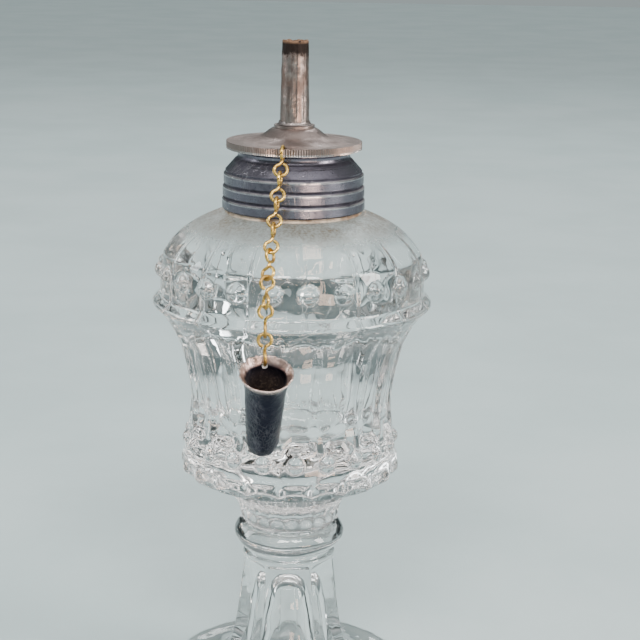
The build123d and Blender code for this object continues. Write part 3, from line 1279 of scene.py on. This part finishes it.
@dataclass(frozen=True)
class BrassFinish:
    """Old brass wire, gold with soft patches of brown tarnish."""

    name: str = "chain_brass_aged"
    gold: Colour = (0.62, 0.40, 0.105, 1.0)
    brown: Colour = (0.16, 0.082, 0.028, 1.0)

    def build(self, effects: Effects) -> Material:
        """Builds the material.

        Args:
            effects: The shared groups.

        Returns:
            The material.
        """
        shade = Shade(self.name, effects, Metallic=1.0)
        _, _, spot = shade.place()
        tarnish = shade.mottle(spot, 360.0, 0.44, 0.66)
        fine = shade.mottle(spot, 2200.0, 0.46, 0.70)
        pits = shade.specks(spot, 3000.0, 0.3)
        colour = shade.veil(tarnish, 0.62, self.gold, self.brown)
        colour = shade.veil(fine, 0.30, colour, self.brown)
        rough = shade.line(tarnish, 0.26, 0.24)
        normal = shade.bump(shade.noise(1400.0, 3.0, 0.5, spot), 0.00005)
        normal = shade.bump(pits, -0.00002, normal)
        return shade.finish(colour, rough, normal)


@dataclass(frozen=True)
class TubeFinish:
    """Thin rolled sheet, dull and streaked, blackened at its burnt end."""

    name: str = "tube_sheet_sooted"
    metal: Colour = (0.235, 0.175, 0.155, 1.0)
    bright: Colour = (0.40, 0.34, 0.315, 1.0)
    rust: Colour = (0.115, 0.068, 0.052, 1.0)
    soot: Colour = (0.022, 0.016, 0.014, 1.0)
    burnt: Colour = (0.26, 0.155, 0.10, 1.0)
    burn_low: float = 0.1768
    burn_high: float = 0.1786

    def build(self, effects: Effects) -> Material:
        """Builds the material.

        Args:
            effects: The shared groups.

        Returns:
            The material.
        """
        shade = Shade(self.name, effects, Metallic=1.0)
        along, radius, spot = shade.place()
        ragged = shade.noise(420.0, 5.0, 0.65, spot)
        level = shade.line(shade.minus(ragged, 0.5), 0.005, along)
        soot = shade.ramp(level, self.burn_low, self.burn_high, 0.0, 0.96)
        inner = shade.ramp(radius, 0.00322, 0.0030, 0.0, 1.0)
        soot = shade.most(soot, inner)
        streak = shade.node("ShaderNodeMapping", {"Vector": spot, "Scale": (1.0, 1.0, 0.10)})
        run = shade.ramp(shade.noise(900.0, 4.0, 0.6, streak.outputs[0]), 0.42, 0.66)
        stain = shade.mottle(spot, 210.0, 0.45, 0.66)
        scratch = shade.scratches(spot, 520.0, 0.014)
        colour = shade.veil(run, 0.55, self.metal, self.bright)
        colour = shade.veil(stain, 0.65, colour, self.rust)
        colour = shade.veil(scratch, 0.5, colour, self.bright)
        edge = shade.times(shade.ramp(along, 0.1806, 0.1814), shade.mottle(spot, 500.0, 0.30, 0.50))
        colour = shade.tint(soot, colour, self.soot)
        colour = shade.veil(edge, 0.8, colour, self.burnt)
        rough = shade.line(stain, 0.18, 0.30)
        rough = shade.line(soot, 0.40, rough)
        normal = shade.bump(run, 0.00004)
        normal = shade.bump(shade.noise(260.0, 4.0, 0.55, spot), 0.00022, normal)
        return shade.finish(colour, rough, normal)


@dataclass(frozen=True)
class SolderFinish:
    """Lumpy soft solder with dull grey skin."""

    name: str = "solder_grey"
    grey: Colour = (0.28, 0.24, 0.225, 1.0)
    dull: Colour = (0.13, 0.115, 0.11, 1.0)

    def build(self, effects: Effects) -> Material:
        """Builds the material.

        Args:
            effects: The shared groups.

        Returns:
            The material.
        """
        shade = Shade(self.name, effects, Metallic=1.0)
        _, _, spot = shade.place()
        dull = shade.mottle(spot, 420.0, 0.40, 0.64)
        lumps = shade.noise(700.0, 4.0, 0.6, spot)
        rough = shade.line(dull, 0.25, 0.34)
        return shade.finish(
            shade.tint(dull, self.grey, self.dull), rough, shade.bump(lumps, 0.00025)
        )


@dataclass(frozen=True)
class PlasterFinish:
    """Gritty plaster, stained by fuel."""

    name: str = "plaster_stained"
    pale: Colour = (0.62, 0.50, 0.39, 1.0)
    brown: Colour = (0.20, 0.125, 0.075, 1.0)

    def build(self, effects: Effects) -> Material:
        """Builds the material.

        Args:
            effects: The shared groups.

        Returns:
            The material.
        """
        shade = Shade(self.name, effects)
        _, _, spot = shade.place()
        stain = shade.mottle(spot, 180.0, 0.38, 0.64)
        grit = shade.noise(2400.0, 5.0, 0.7, spot)
        pits = shade.specks(spot, 1500.0, 0.4)
        colour = shade.tint(stain, self.pale, self.brown)
        colour = shade.veil(pits, 0.6, colour, self.brown)
        normal = shade.bump(shade.minus(grit, shade.times(pits, 0.5)), 0.00025)
        return shade.finish(colour, shade.line(stain, -0.12, 0.92), normal)


@dataclass(frozen=True)
class CottonFinish:
    """Cotton yarn, charred at its top, with painted shade in the grooves between strands."""

    name: str = "wick_cotton_charred"
    cotton: Colour = (0.72, 0.66, 0.54, 1.0)
    soak_and_shade_tone: Colour = (0.42, 0.34, 0.24, 1.0)
    char: Colour = (0.018, 0.014, 0.012, 1.0)
    char_low: float = 0.1700
    char_high: float = 0.1765

    def build(self, effects: Effects) -> Material:
        """Builds the material.

        Args:
            effects: The shared groups.

        Returns:
            The material.
        """
        shade = Shade(self.name, effects, Sheen_Weight=0.25)
        along, radius, spot = shade.place()
        ragged = shade.minus(shade.noise(700.0, 5.0, 0.6, spot), 0.5)
        char = shade.ramp(shade.line(ragged, 0.008, along), self.char_low, self.char_high)
        # painted shade: the cotton is darkened where the braid sinks between strands
        gap = shade.ramp(radius, 0.0023, 0.0019)
        fibre = shade.noise(5200.0, 4.0, 0.7, spot)
        soak = shade.mottle(spot, 240.0, 0.42, 0.66)
        colour = shade.veil(soak, 0.5, self.cotton, self.soak_and_shade_tone)
        colour = shade.veil(gap, 0.7, colour, self.soak_and_shade_tone)
        colour = shade.tint(char, colour, self.char)
        normal = shade.bump(fibre, 0.00012)
        return shade.finish(colour, shade.line(fibre, 0.1, 0.85), normal)


@dataclass(frozen=True)
class FloorFinish:
    """Pale matt studio floor with a faint grain."""

    name: str = "studio_floor"
    light: Colour = (0.40, 0.485, 0.49, 1.0)
    dim: Colour = (0.365, 0.45, 0.455, 1.0)

    def build(self, effects: Effects) -> Material:
        """Builds the material.

        Args:
            effects: The shared groups.

        Returns:
            The material.
        """
        shade = Shade(self.name, effects)
        _, _, spot = shade.place()
        cloud = shade.mottle(spot, 9.0, 0.35, 0.65)
        grain = shade.noise(1800.0, 3.0, 0.6, spot)
        return shade.finish(
            shade.tint(cloud, self.light, self.dim),
            shade.line(grain, 0.1, 0.8),
            shade.bump(grain, 0.0001),
        )


def signed_volume(mesh: bpy.types.Mesh) -> float:
    """Volume inside a closed mesh, negative when its faces point inwards.

    Args:
        mesh: The mesh to measure.

    Returns:
        The volume in cubic metres.
    """
    total = 0.0
    spots = [v.co for v in mesh.vertices]
    for face in mesh.polygons:
        ring = face.vertices
        for i in range(1, len(ring) - 1):
            total += spots[ring[0]].dot(spots[ring[i]].cross(spots[ring[i + 1]])) / 6.0
    return total


def face_outwards(mesh: bpy.types.Mesh) -> None:
    """Turns a closed mesh's faces round if they point inwards.

    Args:
        mesh: The mesh.
    """
    if signed_volume(mesh) < 0.0:
        mesh.flip_normals()


def hand_over(made: Thing, body: str, nodes: Sequence[str]) -> Thing:
    """Gives a finished piece its body and the CAD nodes that it stands for.

    Args:
        made: The finished object.
        body: The body that it moves with.
        nodes: The CAD nodes.

    Returns:
        The same object.
    """
    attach(made, body)
    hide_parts(*nodes)
    LOG.info("%s: %d faces", made.name, len(made.data.polygons))
    return made


@dataclass
class TurnedPiece:
    """A piece turned from a profile and pressed by a rule.

    Attributes:
        name: The piece's name.
        body: The body it moves with.
        slot: The record's material slot; not used.
        nodes: CAD nodes it stands for.
        profile: The profile's runs.
        tree: The tree that turns and presses it.
        columns: Columns round the axis.
        values: Values of the tree's named inputs.
        base: Height of the profile's zero.
    """

    name: str
    body: Body
    slot: Slot
    nodes: tuple[str, ...]
    profile: Sequence[Stretch]
    tree: TurnedTree
    columns: int
    values: dict[str, object] = field(default_factory=dict)
    base: float = 0.0

    def shape(self, material: Material) -> Thing:
        """Makes the piece's mesh.

        Args:
            material: The finish it wears.

        Returns:
            The finished object.
        """
        made = profile_object(self.name, profile_points(self.profile), self.base)
        made = convert(
            made, self.tree.build(), {**self.values, "Columns": self.columns, "Material": material}
        )
        face_outwards(made.data)
        return made

    def place(self, made: Thing) -> Thing:
        """Hands the piece to its body."""
        return hand_over(made, self.body.value, self.nodes)

    def build(self, material: Material) -> Thing:
        """Shapes and places the piece.

        Args:
            material: The finish it wears.

        Returns:
            The finished object.
        """
        return self.place(self.shape(material))


def dress(node: str, material: Material) -> None:
    """Gives a carried-over CAD piece its finish.

    Args:
        node: The CAD node's name.
        material: The finish.
    """
    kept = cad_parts[node]
    if not kept.material_slots:
        kept.data.materials.append(material)
    for place in kept.material_slots:
        place.material = material
    LOG.info("%s: kept, %s", node, material.name)


@dataclass
class PressedGlass:
    """The three glass pieces: foot with its stem, wafer and reservoir.

    Attributes:
        floor: Height of the foot's resting face.
        beads: Beads in the upper row.
        lobes: Lobes of the skirt, each with a bead above it.
        panels: Arched panels round the reservoir.
        columns: Columns round the reservoir.
    """

    floor: float
    beads: float = 24.0
    lobes: float = 21.0
    panels: float = 16.0
    columns: int = 432

    def foot(self) -> TurnedPiece:
        """The foot and stem, hollow from below."""
        profile = runs(
            (0.0, 32.4),
            (
                34, (2.8, 31.8), (4.6, 30.4), (6.6, 24.0), (8.6, 13.0), (11.6, 6.0), (17.0, 2.0),
                (25.0, 0.0),
            ),
            (3, (34.1, 0.0)),
            (3, (34.55, 0.2), (34.7, 0.7)),
            (2, (34.7, 2.1)),
            (
                44, (33.7, 2.9), (27.0, 4.4), (20.5, 6.6), (16.6, 10.6), (14.9, 17.0), (13.9, 24.0),
                (13.1, 31.0), (12.5, 36.6),
            ),
            (8, (12.9, 37.4), (13.0, 38.4), (12.8, 39.4), (12.2, 39.9)),
            (2, (12.2, 41.5)),
            (3, (0.0, 41.5)),
        )
        tree = TurnedTree(
            "pressed_stem", (number("Sides", 6.0), number("Sharpness", 1.0)), press_stem
        )
        return TurnedPiece(
            "foot_glass", Body.LAMP, Slot.GLASS, ("foot",), profile, tree, 360, base=self.floor
        )

    def wafer(self) -> TurnedPiece:
        """The thick wafer between stem and reservoir."""
        profile = runs(
            (0.0, 41.45),
            (3, (13.4, 41.45)),
            (22, (14.2, 42.2), (15.5, 45.0), (14.0, 47.8), (12.8, 48.5)),
            (3, (0.0, 48.5)),
        )
        tree = TurnedTree("turned_wafer", (number("Waver", 0.00012),), press_nothing)
        return TurnedPiece(
            "wafer_glass", Body.LAMP, Slot.GLASS, ("wafer",), profile, tree, 216, base=self.floor
        )

    def font(self) -> TurnedPiece:
        """The reservoir."""
        profile = runs(
            (0.0, 48.45),
            (3, (12.8, 48.45)),
            (
                28, (13.5, 49.6), (14.7, 54.0), (18.0, 58.0), (23.5, 61.2), (29.6, 64.0),
                (30.4, 65.0),
            ),
            (3, (30.4, 66.8)),
            (18, (29.2, 70.4), (28.5, 75.6)),
            (24, (27.7, 83.8), (28.6, 91.8), (30.7, 100.8)),
            (16, (34.3, 107.4), (37.9, 111.4)),
            (1, (37.9, 112.0)),
            (4, (35.9, 114.2)),
            (24, (35.7, 120.5), (34.9, 125.0)),
            (22, (32.6, 128.2), (29.2, 131.2), (24.6, 133.9), (19.5, 135.9), (18.4, 136.0)),
            (2, (15.6, 136.4)),
            (2, (14.5, 137.4)),
            (3, (14.5, 145.6)),
            (1, (14.1, 146.0)),
            (2, (11.0, 146.0)),
            (3, (11.0, 138.0)),
            (
                36, (12.5, 134.6), (15.6, 128.6), (18.2, 122.0), (18.8, 115.0), (17.8, 100.0),
                (16.6, 85.0), (13.0, 76.2), (6.0, 73.5), (0.0, 73.0),
            ),
        )
        extras = (
            number("Beads", self.beads),
            number("Bead Shift", 6.75),
            number("Bead Ring", 0.0349),
            number("Bead Level", 0.1205),
            number("Bead Radius", 0.00245),
            number("Lobes", self.lobes),
            number("Skirt Shift", 3.0),
            number("Skirt Ring", 0.0278),
            number("Skirt Level", 0.0732),
            number("Skirt Bead Radius", 0.0022),
            number("Panels", self.panels),
            number("Panel Shift", 4.9),
            number("Panel Half Width", 0.425),
            number("Panel Depth", 0.0009),
            number("Panel Foot", 0.0762),
            number("Border Height", 0.00012),
            number("Arch Spring", 0.1030),
            number("Arch Top", 0.1098),
            number("Flute Depth", 0.0008),
            number("Scallop Depth", 0.0011),
            number("Scallop Rise", 0.0006),
        )
        tree = TurnedTree("pressed_font", extras, press_font)
        return TurnedPiece(
            "font_glass", Body.LAMP, Slot.GLASS, ("font",), profile, tree, self.columns,
            base=self.floor,
        )

    def build(self, material: Material) -> None:
        """Builds all three pieces.

        Args:
            material: The glass.
        """
        for piece in (self.foot(), self.wafer(), self.font()):
            piece.build(material)


@dataclass
class WickTube:
    """The rolled tube with its torn, burnt end.

    Attributes:
        foot: Height of the tube's lower end.
        mouth: Height of the tube's rim.
        boss: Height where the tube leaves the burner's boss.
    """

    foot: float
    mouth: float
    boss: float

    def build(self, material: Material) -> Thing:
        """Builds the tube.

        Args:
            material: The sheet's finish.

        Returns:
            The finished object.
        """
        foot, mouth, boss = 0.0, (self.mouth - self.foot) / MM, (self.boss - self.foot) / MM
        profile = runs(
            (3.35, foot),
            (1, (3.95, foot)),
            (6, (3.95, boss)),
            (64, (3.44, mouth - 0.25)),
            (1, (3.36, mouth)),
            (2, (2.92, mouth)),
            (1, (2.84, mouth - 0.25)),
            (34, (3.35, boss)),
            (4, (3.35, foot)),
        )
        extras = (
            number("Boss", self.boss),
            number("Mouth", self.mouth),
            number("Dent", 0.00040),
            number("Tear", 0.0016),
            number("Lap", 0.00014),
            number("Seam Turn", 22.0),
            number("Wall Middle", 0.00365),
            number("Taper", 0.023),
        )
        tree = TurnedTree("rolled_tube", extras, press_tube)
        piece = TurnedPiece(
            "wick_tube_sheet", Body.BURNER, Slot.TUBE, ("wick_tube",), profile, tree, 160,
            base=self.foot,
        )
        return piece.build(material)


@dataclass
class Wick:
    """The braided cotton wick.

    Attributes:
        foot: Height of its lower end.
        tip: Height of its top.
    """

    foot: float
    tip: float

    def build(self, material: Material) -> Thing:
        """Builds the wick.

        Args:
            material: The cotton.

        Returns:
            The finished object.
        """
        tip = (self.tip - self.foot) / MM
        profile = runs(
            (0.0, 0.0),
            (2, (2.4, 0.0)),
            (190, (2.4, tip - 0.5)),
            (3, (1.9, tip)),
            (6, (0.0, tip - 0.1)),
        )
        extras = (number("Strands", 6.0), number("Lead", 0.0042), number("Strand Height", 0.00042))
        tree = TurnedTree("braided_wick", extras, press_braid)
        piece = TurnedPiece(
            "wick_braid", Body.WICK, Slot.WICK, ("wick",), profile, tree, 120, base=self.foot
        )
        return piece.build(material)


@dataclass
class Snuffer:
    """The pewter cap on the end of the chain.

    Attributes:
        mouth: Middle of its mouth.
        hang_turn: Degrees that the chain hangs away from the front.
        lean: Degrees that the mouth tips towards the front.
        hole: Radius of the hole the last link passes through.
        hole_drop: Depth of that hole below the mouth.
        cut: Where the cutter starts and ends behind the axis.
        sides: Sides of the hole.
    """

    mouth: tuple[float, float, float] = (-0.0060812, -0.0454403, 0.1035189)
    hang_turn: float = -5.6
    lean: float = 27.0
    hole: float = 0.000775
    hole_drop: float = 0.0022
    cut: tuple[float, float] = (-0.0085, -0.0030)
    sides: int = 28

    def axes(self) -> tuple[Vector, Vector, Vector]:
        """The cap's own directions.

        Returns:
            Forward, sideways and up along its axis.
        """
        turn, lean = math.radians(self.hang_turn), math.radians(self.lean)
        out = Vector((-math.sin(turn), -math.cos(turn), 0.0))
        rise = Vector((0.0, 0.0, 1.0))
        up = out * math.sin(lean) + rise * math.cos(lean)
        forward = out * math.cos(lean) - rise * math.sin(lean)
        return forward, up.cross(forward), up

    def pierce(self, made: Thing) -> None:
        """Cuts the chain hole through the back wall.

        Args:
            made: The cap, still standing at the origin.
        """
        spots, faces = [], []
        sides = self.sides
        for i in range(sides):
            turn = math.tau * i / sides
            y, z = self.hole * math.cos(turn), self.hole * math.sin(turn) - self.hole_drop
            spots += [(x, y, z) for x in self.cut]
            faces.append((2 * i, 2 * i + 1, (2 * i + 3) % (2 * sides), (2 * i + 2) % (2 * sides)))
        faces += [
            tuple(2 * i for i in range(sides)), tuple(2 * i + 1 for i in reversed(range(sides)))
        ]
        mesh = bpy.data.meshes.new("hole_cutter")
        mesh.from_pydata(spots, [], faces)
        face_outwards(mesh)
        cutter = link("hole_cutter", mesh)
        cut = made.modifiers.new("hole", "BOOLEAN")
        cut.object, cut.operation, cut.solver = cutter, "DIFFERENCE", "EXACT"
        keep_result(made)
        bpy.data.objects.remove(cutter)

    def build(self, material: Material) -> Thing:
        """Builds the cap.

        Args:
            material: The cap's finish.

        Returns:
            The finished object.
        """
        profile = runs(
            (0.0, -27.4),
            (14, (3.15, -26.3), (4.25, -23.4)),
            (70, (4.65, -16.0), (5.0, -10.0), (5.3, -5.2), (5.85, -2.2), (6.85, -0.1)),
            (1, (6.74, 0.02)),
            (2, (6.46, 0.02)),
            (1, (6.35, -0.1)),
            (56, (5.1, -2.0), (4.45, -4.8), (4.1, -9.0), (3.85, -16.0), (3.5, -23.0)),
            (10, (2.55, -25.1), (0.0, -25.8)),
        )
        tree = TurnedTree(
            "dented_cap", (number("Dent", 0.00032), number("Nick", 0.0011)), press_cap
        )
        piece = TurnedPiece(
            "snuffer_cap", Body.SNUFFER, Slot.SNUFFER, ("snuffer",), profile, tree, 168
        )
        made = piece.shape(material)
        self.pierce(made)
        forward, side, up = self.axes()
        turn = Matrix((forward, side, up)).transposed().to_4x4()
        made.data.transform(Matrix.Translation(Vector(self.mouth)) @ turn)
        return piece.place(made)


@dataclass
class Chain:
    """Jack chain: each link is one wire bent into two eyes set square to each other.

    Attributes:
        eye: Mean radius of an eye.
        half: Distance from a link's middle to an eye's middle.
        rise: How far a link's wire sits above the wire it hangs on.
        wire: Radius of the wire.
        start: Distance from the lamp's axis and height of the first eye.
        hang_turn: Degrees that the chain hangs away from the front.
        leans: Each link's lean outwards, in degrees.
        twists: Each link's twist, in degrees.
        bends: Angles of the bends round an eye, in degrees from its inner end.
        swing: How far the wire bows out beside the neck.
        run_in: Height of that bow above the eye.
        steps: Points along the wire.
        sides: Sides of the wire.
    """

    eye: float = 1.7
    half: float = 2.325
    rise: float = 0.85
    wire: float = 0.00043
    start: tuple[float, float] = (17.68, 154.12)
    hang_turn: float = 9.5
    leans: tuple[float, ...] = (32.0, 36.0, 36.0, 36.0, 34.0, 16.0, 4.0, 0.0)
    twists: tuple[float, ...] = (0.0, 0.0, 0.0, 0.0, 25.0, 60.0, 80.0, 74.9)
    bends: tuple[float, ...] = (18.0, 55.0, 95.0, 135.0, 175.0, 215.0, 255.0, 298.0)
    swing: float = 0.35
    run_in: float = 0.12
    steps: int = 96
    sides: int = 14

    def tree(self) -> Tree:
        """Geometry Nodes tree that lays round wire along a bent path.

        Returns:
            The tree.
        """
        inputs = [
            ("Path", "NodeSocketGeometry", None),
            number("Wire Radius", 0.0004),
            ("Steps", "NodeSocketInt", self.steps),
            ("Material", "NodeSocketMaterial", None),
        ]
        tree, graph, given, made = new_group(
            "bent_wire", "GeometryNodeTree", inputs, [("Mesh", "NodeSocketGeometry")]
        )
        curve = graph.node("GeometryNodeMeshToCurve", {0: given.outputs["Path"]})
        kind = graph.node(
            "GeometryNodeCurveSplineType", {0: curve.outputs[0]}, spline_type="CATMULL_ROM"
        )
        even = graph.node(
            "GeometryNodeResampleCurve", {"Curve": kind.outputs[0], "Count": given.outputs["Steps"]}
        )
        ring = graph.node(
            "GeometryNodeCurvePrimitiveCircle",
            {"Resolution": self.sides, "Radius": given.outputs["Wire Radius"]},
        )
        sweep = graph.node(
            "GeometryNodeCurveToMesh",
            {"Curve": even.outputs[0], "Profile Curve": ring.outputs[0], "Fill Caps": True},
        )
        end_tree(graph, given, made, sweep.outputs[0])
        return tree

    def path(self) -> list[Vector]:
        """The wire's bends, in one link's own frame in millimetres.

        Returns:
            Points from the end of the upper eye to the end of the lower one.
        """
        upper, lower = [], []
        for bend in map(math.radians, self.bends):
            side, along = self.eye * math.sin(bend), self.half - self.eye * math.cos(bend)
            upper.append(Vector((side, 0.0, along)))
            lower.insert(0, Vector((0.0, side, -along)))
        neck = self.half - self.eye
        above = Vector((-self.swing, 0.0, neck + self.run_in))
        below = Vector((0.0, -self.swing, -neck - self.run_in))
        return [*upper, above, Vector((0.0, 0.0, 0.0)), below, *lower]

    def build(self, material: Material) -> None:
        """Builds every link on its own body.

        Args:
            material: The brass.
        """
        tree = self.tree()
        turn = math.radians(self.hang_turn)
        out = Vector((-math.sin(turn), -math.cos(turn), 0.0))
        side = Vector((-math.cos(turn), math.sin(turn), 0.0))
        rise = Vector((0.0, 0.0, 1.0))
        middle = out * self.start[0] + rise * self.start[1]
        for index, (lean, twist) in enumerate(zip(self.leans, self.twists)):
            down = out * math.sin(math.radians(lean)) - rise * math.cos(math.radians(lean))
            middle = middle + down * (self.half if index == 0 else self.half + self.eye - self.rise)
            across = side.cross(down)
            first = across * math.cos(math.radians(twist)) + side * math.sin(math.radians(twist))
            frame_of_link = Matrix((first, (-down).cross(first), -down)).transposed()
            spots = [(middle + frame_of_link @ bend) * MM for bend in self.path()]
            name = f"chain_link_{index + 1}"
            mesh = bpy.data.meshes.new(f"{name}_wire")
            mesh.from_pydata(spots, [(i, i + 1) for i in range(len(spots) - 1)], [])
            made = link(f"{name}_wire", mesh)
            convert(
                made, tree, {"Wire Radius": self.wire, "Steps": self.steps, "Material": material}
            )
            face_outwards(made.data)
            hand_over(made, name, (name,))
            middle = middle + down * (self.half + self.eye)


@dataclass(frozen=True)
class Softbox:
    """One soft studio light.

    Attributes:
        name: Its name.
        spot: Where it stands.
        aim: What it points at.
        size: Width and height.
        power: Watts.
        colour: Its colour.
    """

    name: str
    spot: tuple[float, float, float]
    aim: tuple[float, float, float]
    size: tuple[float, float]
    power: float
    colour: tuple[float, float, float] = (1.0, 1.0, 1.0)

    def build(self) -> Thing:
        """Builds the light.

        Returns:
            The light.
        """
        lamp = bpy.data.lights.new(self.name, "AREA")
        lamp.shape = "RECTANGLE"
        lamp.size, lamp.size_y = self.size
        lamp.energy = self.power
        lamp.color = self.colour
        made = link(self.name, lamp)
        made.location = self.spot
        made.rotation_euler = (
            Vector(self.aim) - Vector(self.spot)
        ).to_track_quat("-Z", "Y").to_euler()
        return made


@dataclass
class Studio:
    """Floor, lights, surroundings and camera.

    Attributes:
        reach: Half the width of the floor.
        lens: Focal length in millimetres.
        eye: Where the camera stands.
        pitch: Degrees that it looks down.
        yaw: Degrees that it looks to the right of the lamp.
        roll: Degrees that it is tipped to the left.
        sensor: Width of its sensor in millimetres.
        near: Nearest distance that it sees.
        gap: How far the floor lies under the foot.
        overhead: Strength of the wide light from the ceiling.
        overhead_spread: Its spread in degrees.
        overhead_turn: Degrees that it is turned about X and Y.
        fill: Strength of the room's own light.
        horizon: Colour of that light at the horizon.
        zenith: Its colour high up.
        backdrop: What the camera sees behind the floor.
        warm_white: Colour of the two window lights.
    """

    reach: float = 4.0
    lens: float = 90.0
    eye: tuple[float, float, float] = (0.0, -0.4260, 0.2119)
    pitch: float = 13.98
    yaw: float = 1.04
    roll: float = 1.03
    sensor: float = 36.0
    near: float = 0.01
    gap: float = 0.0002
    overhead: float = 1.3
    overhead_spread: float = 70.0
    overhead_turn: tuple[float, float] = (12.0, 8.0)
    fill: float = 0.75
    horizon: Colour = (0.12, 0.175, 0.18, 1.0)
    zenith: Colour = (0.66, 0.69, 0.69, 1.0)
    backdrop: Colour = (0.44, 0.505, 0.51, 1.0)
    warm_white: tuple[float, float, float] = (1.0, 0.99, 0.97)

    def floor(self, material: Material) -> None:
        """Lays the floor.

        Args:
            material: Its finish.
        """
        level = CAD_BOX[0][2] - self.gap
        reach = self.reach
        mesh = bpy.data.meshes.new("floor")
        corners = ((-reach, -reach), (reach, -reach), (reach, reach), (-reach, reach))
        mesh.from_pydata([(x, y, level) for x, y in corners], [], [(0, 1, 2, 3)])
        mesh.materials.append(material)
        link("floor", mesh)

    def lights(self) -> None:
        """Sets up the soft lights."""
        middle = (0.0, 0.0, 0.10)
        for box in (
            Softbox(
                "window_left", (-0.26, -0.95, 0.95), middle, (0.42, 0.22), 11.0, self.warm_white
            ),
            Softbox(
                "window_right", (0.26, -0.95, 0.95), middle, (0.42, 0.22), 11.0, self.warm_white
            ),
            Softbox(
                "side_right", (0.95, -0.35, 0.42), middle, (0.30, 0.60), 11.0, (1.0, 0.94, 0.89)
            ),
            Softbox("warm_low", (0.34, -0.62, 0.06), middle, (0.34, 0.10), 1.6, (1.0, 0.72, 0.55)),
            Softbox("side_left", (-1.20, 0.15, 0.55), middle, (0.3, 0.7), 6.0, (0.94, 0.98, 1.0)),
            Softbox("back_top", (0.15, 1.10, 1.20), middle, (0.9, 0.4), 11.0),
        ):
            box.build()
        ceiling = bpy.data.lights.new("ceiling", "SUN")
        ceiling.energy = self.overhead
        ceiling.angle = math.radians(self.overhead_spread)
        link("ceiling", ceiling).rotation_euler = (*map(math.radians, self.overhead_turn), 0.0)

    def surroundings(self) -> None:
        """Fills the room with pale light, dimmer towards the horizon."""
        world = bpy.data.worlds.new("room")
        bpy.context.scene.world = world
        world.use_nodes = True
        graph = Graph(world.node_tree)
        ground = next(node for node in world.node_tree.nodes if node.type == "BACKGROUND")
        split = graph.node(
            "ShaderNodeSeparateXYZ", {0: graph.add("ShaderNodeTexCoord").outputs["Generated"]}
        )
        rise = graph.ramp(split.outputs["Z"], 0.0, 0.75)
        around = graph.tint(rise, self.horizon, self.zenith)
        seen = graph.add("ShaderNodeLightPath").outputs["Is Camera Ray"]
        graph.feed(ground.inputs["Color"], graph.tint(seen, around, self.backdrop))
        ground.inputs["Strength"].default_value = self.fill

    def camera(self) -> None:
        """Sets up the camera."""
        data = bpy.data.cameras.new("camera")
        data.lens = self.lens
        data.sensor_width = self.sensor
        data.clip_start = self.near
        made = link("camera", data)
        turn = Matrix.Rotation(math.radians(-self.yaw), 4, "Z") @ Matrix.Rotation(
            math.radians(90.0 - self.pitch), 4, "X"
        )
        made.matrix_world = Matrix.Translation(Vector(self.eye)) @ turn @ Matrix.Rotation(
            math.radians(self.roll), 4, "Z"
        )
        bpy.context.scene.camera = made

    def build(self, effects: Effects) -> None:
        """Builds the whole studio.

        Args:
            effects: The shared shader groups.
        """
        self.floor(FloorFinish().build(effects))
        self.lights()
        self.surroundings()
        self.camera()


def main() -> None:
    """Builds every piece of the lamp and its studio."""
    logging.basicConfig(level=logging.INFO, format="%(name)s: %(message)s")
    effects = Effects()
    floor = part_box("foot")[0].z
    tube_low, tube_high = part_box("wick_tube")
    wick_low, wick_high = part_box("wick")
    boss_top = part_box("burner_cap")[1].z
    PressedGlass(floor).build(GlassFinish().build(effects))
    WickTube(tube_low.z, tube_high.z, boss_top).build(TubeFinish().build(effects))
    Wick(wick_low.z, wick_high.z).build(CottonFinish().build(effects))
    snuffer = Snuffer()
    snuffer.build(
        SnufferFinish("snuffer_pewter", snuffer.mouth, tuple(snuffer.axes()[2])).build(effects)
    )
    dress("plaster_bed", PlasterFinish().build(effects))
    # the bright edge bands are partly a painted highlight and the groove bands partly painted shade
    collar = PewterFinish(
        "collar_pewter",
        edges=(0.1396, 0.1430, 0.1464, 0.1530),
        grooves=(0.1402, 0.1436, 0.1470, 0.1503),
    )
    dress("collar", collar.build(effects))
    # on the burner cap too, the edge band is partly a painted highlight and the groove band partly
    # painted shade
    cap = PewterFinish(
        "burner_pewter",
        base=(0.27, 0.215, 0.195, 1.0),
        dark=(0.10, 0.078, 0.070, 1.0),
        rough=0.33,
        edges=(0.1533,),
        grooves=(0.1558,),
        lines=3400.0,
    )
    dress("burner_cap", cap.build(effects))
    dress("tube_solder", SolderFinish().build(effects))
    Chain().build(BrassFinish().build(effects))
    Studio().build(effects)


if __name__ == "__main__":
    main()
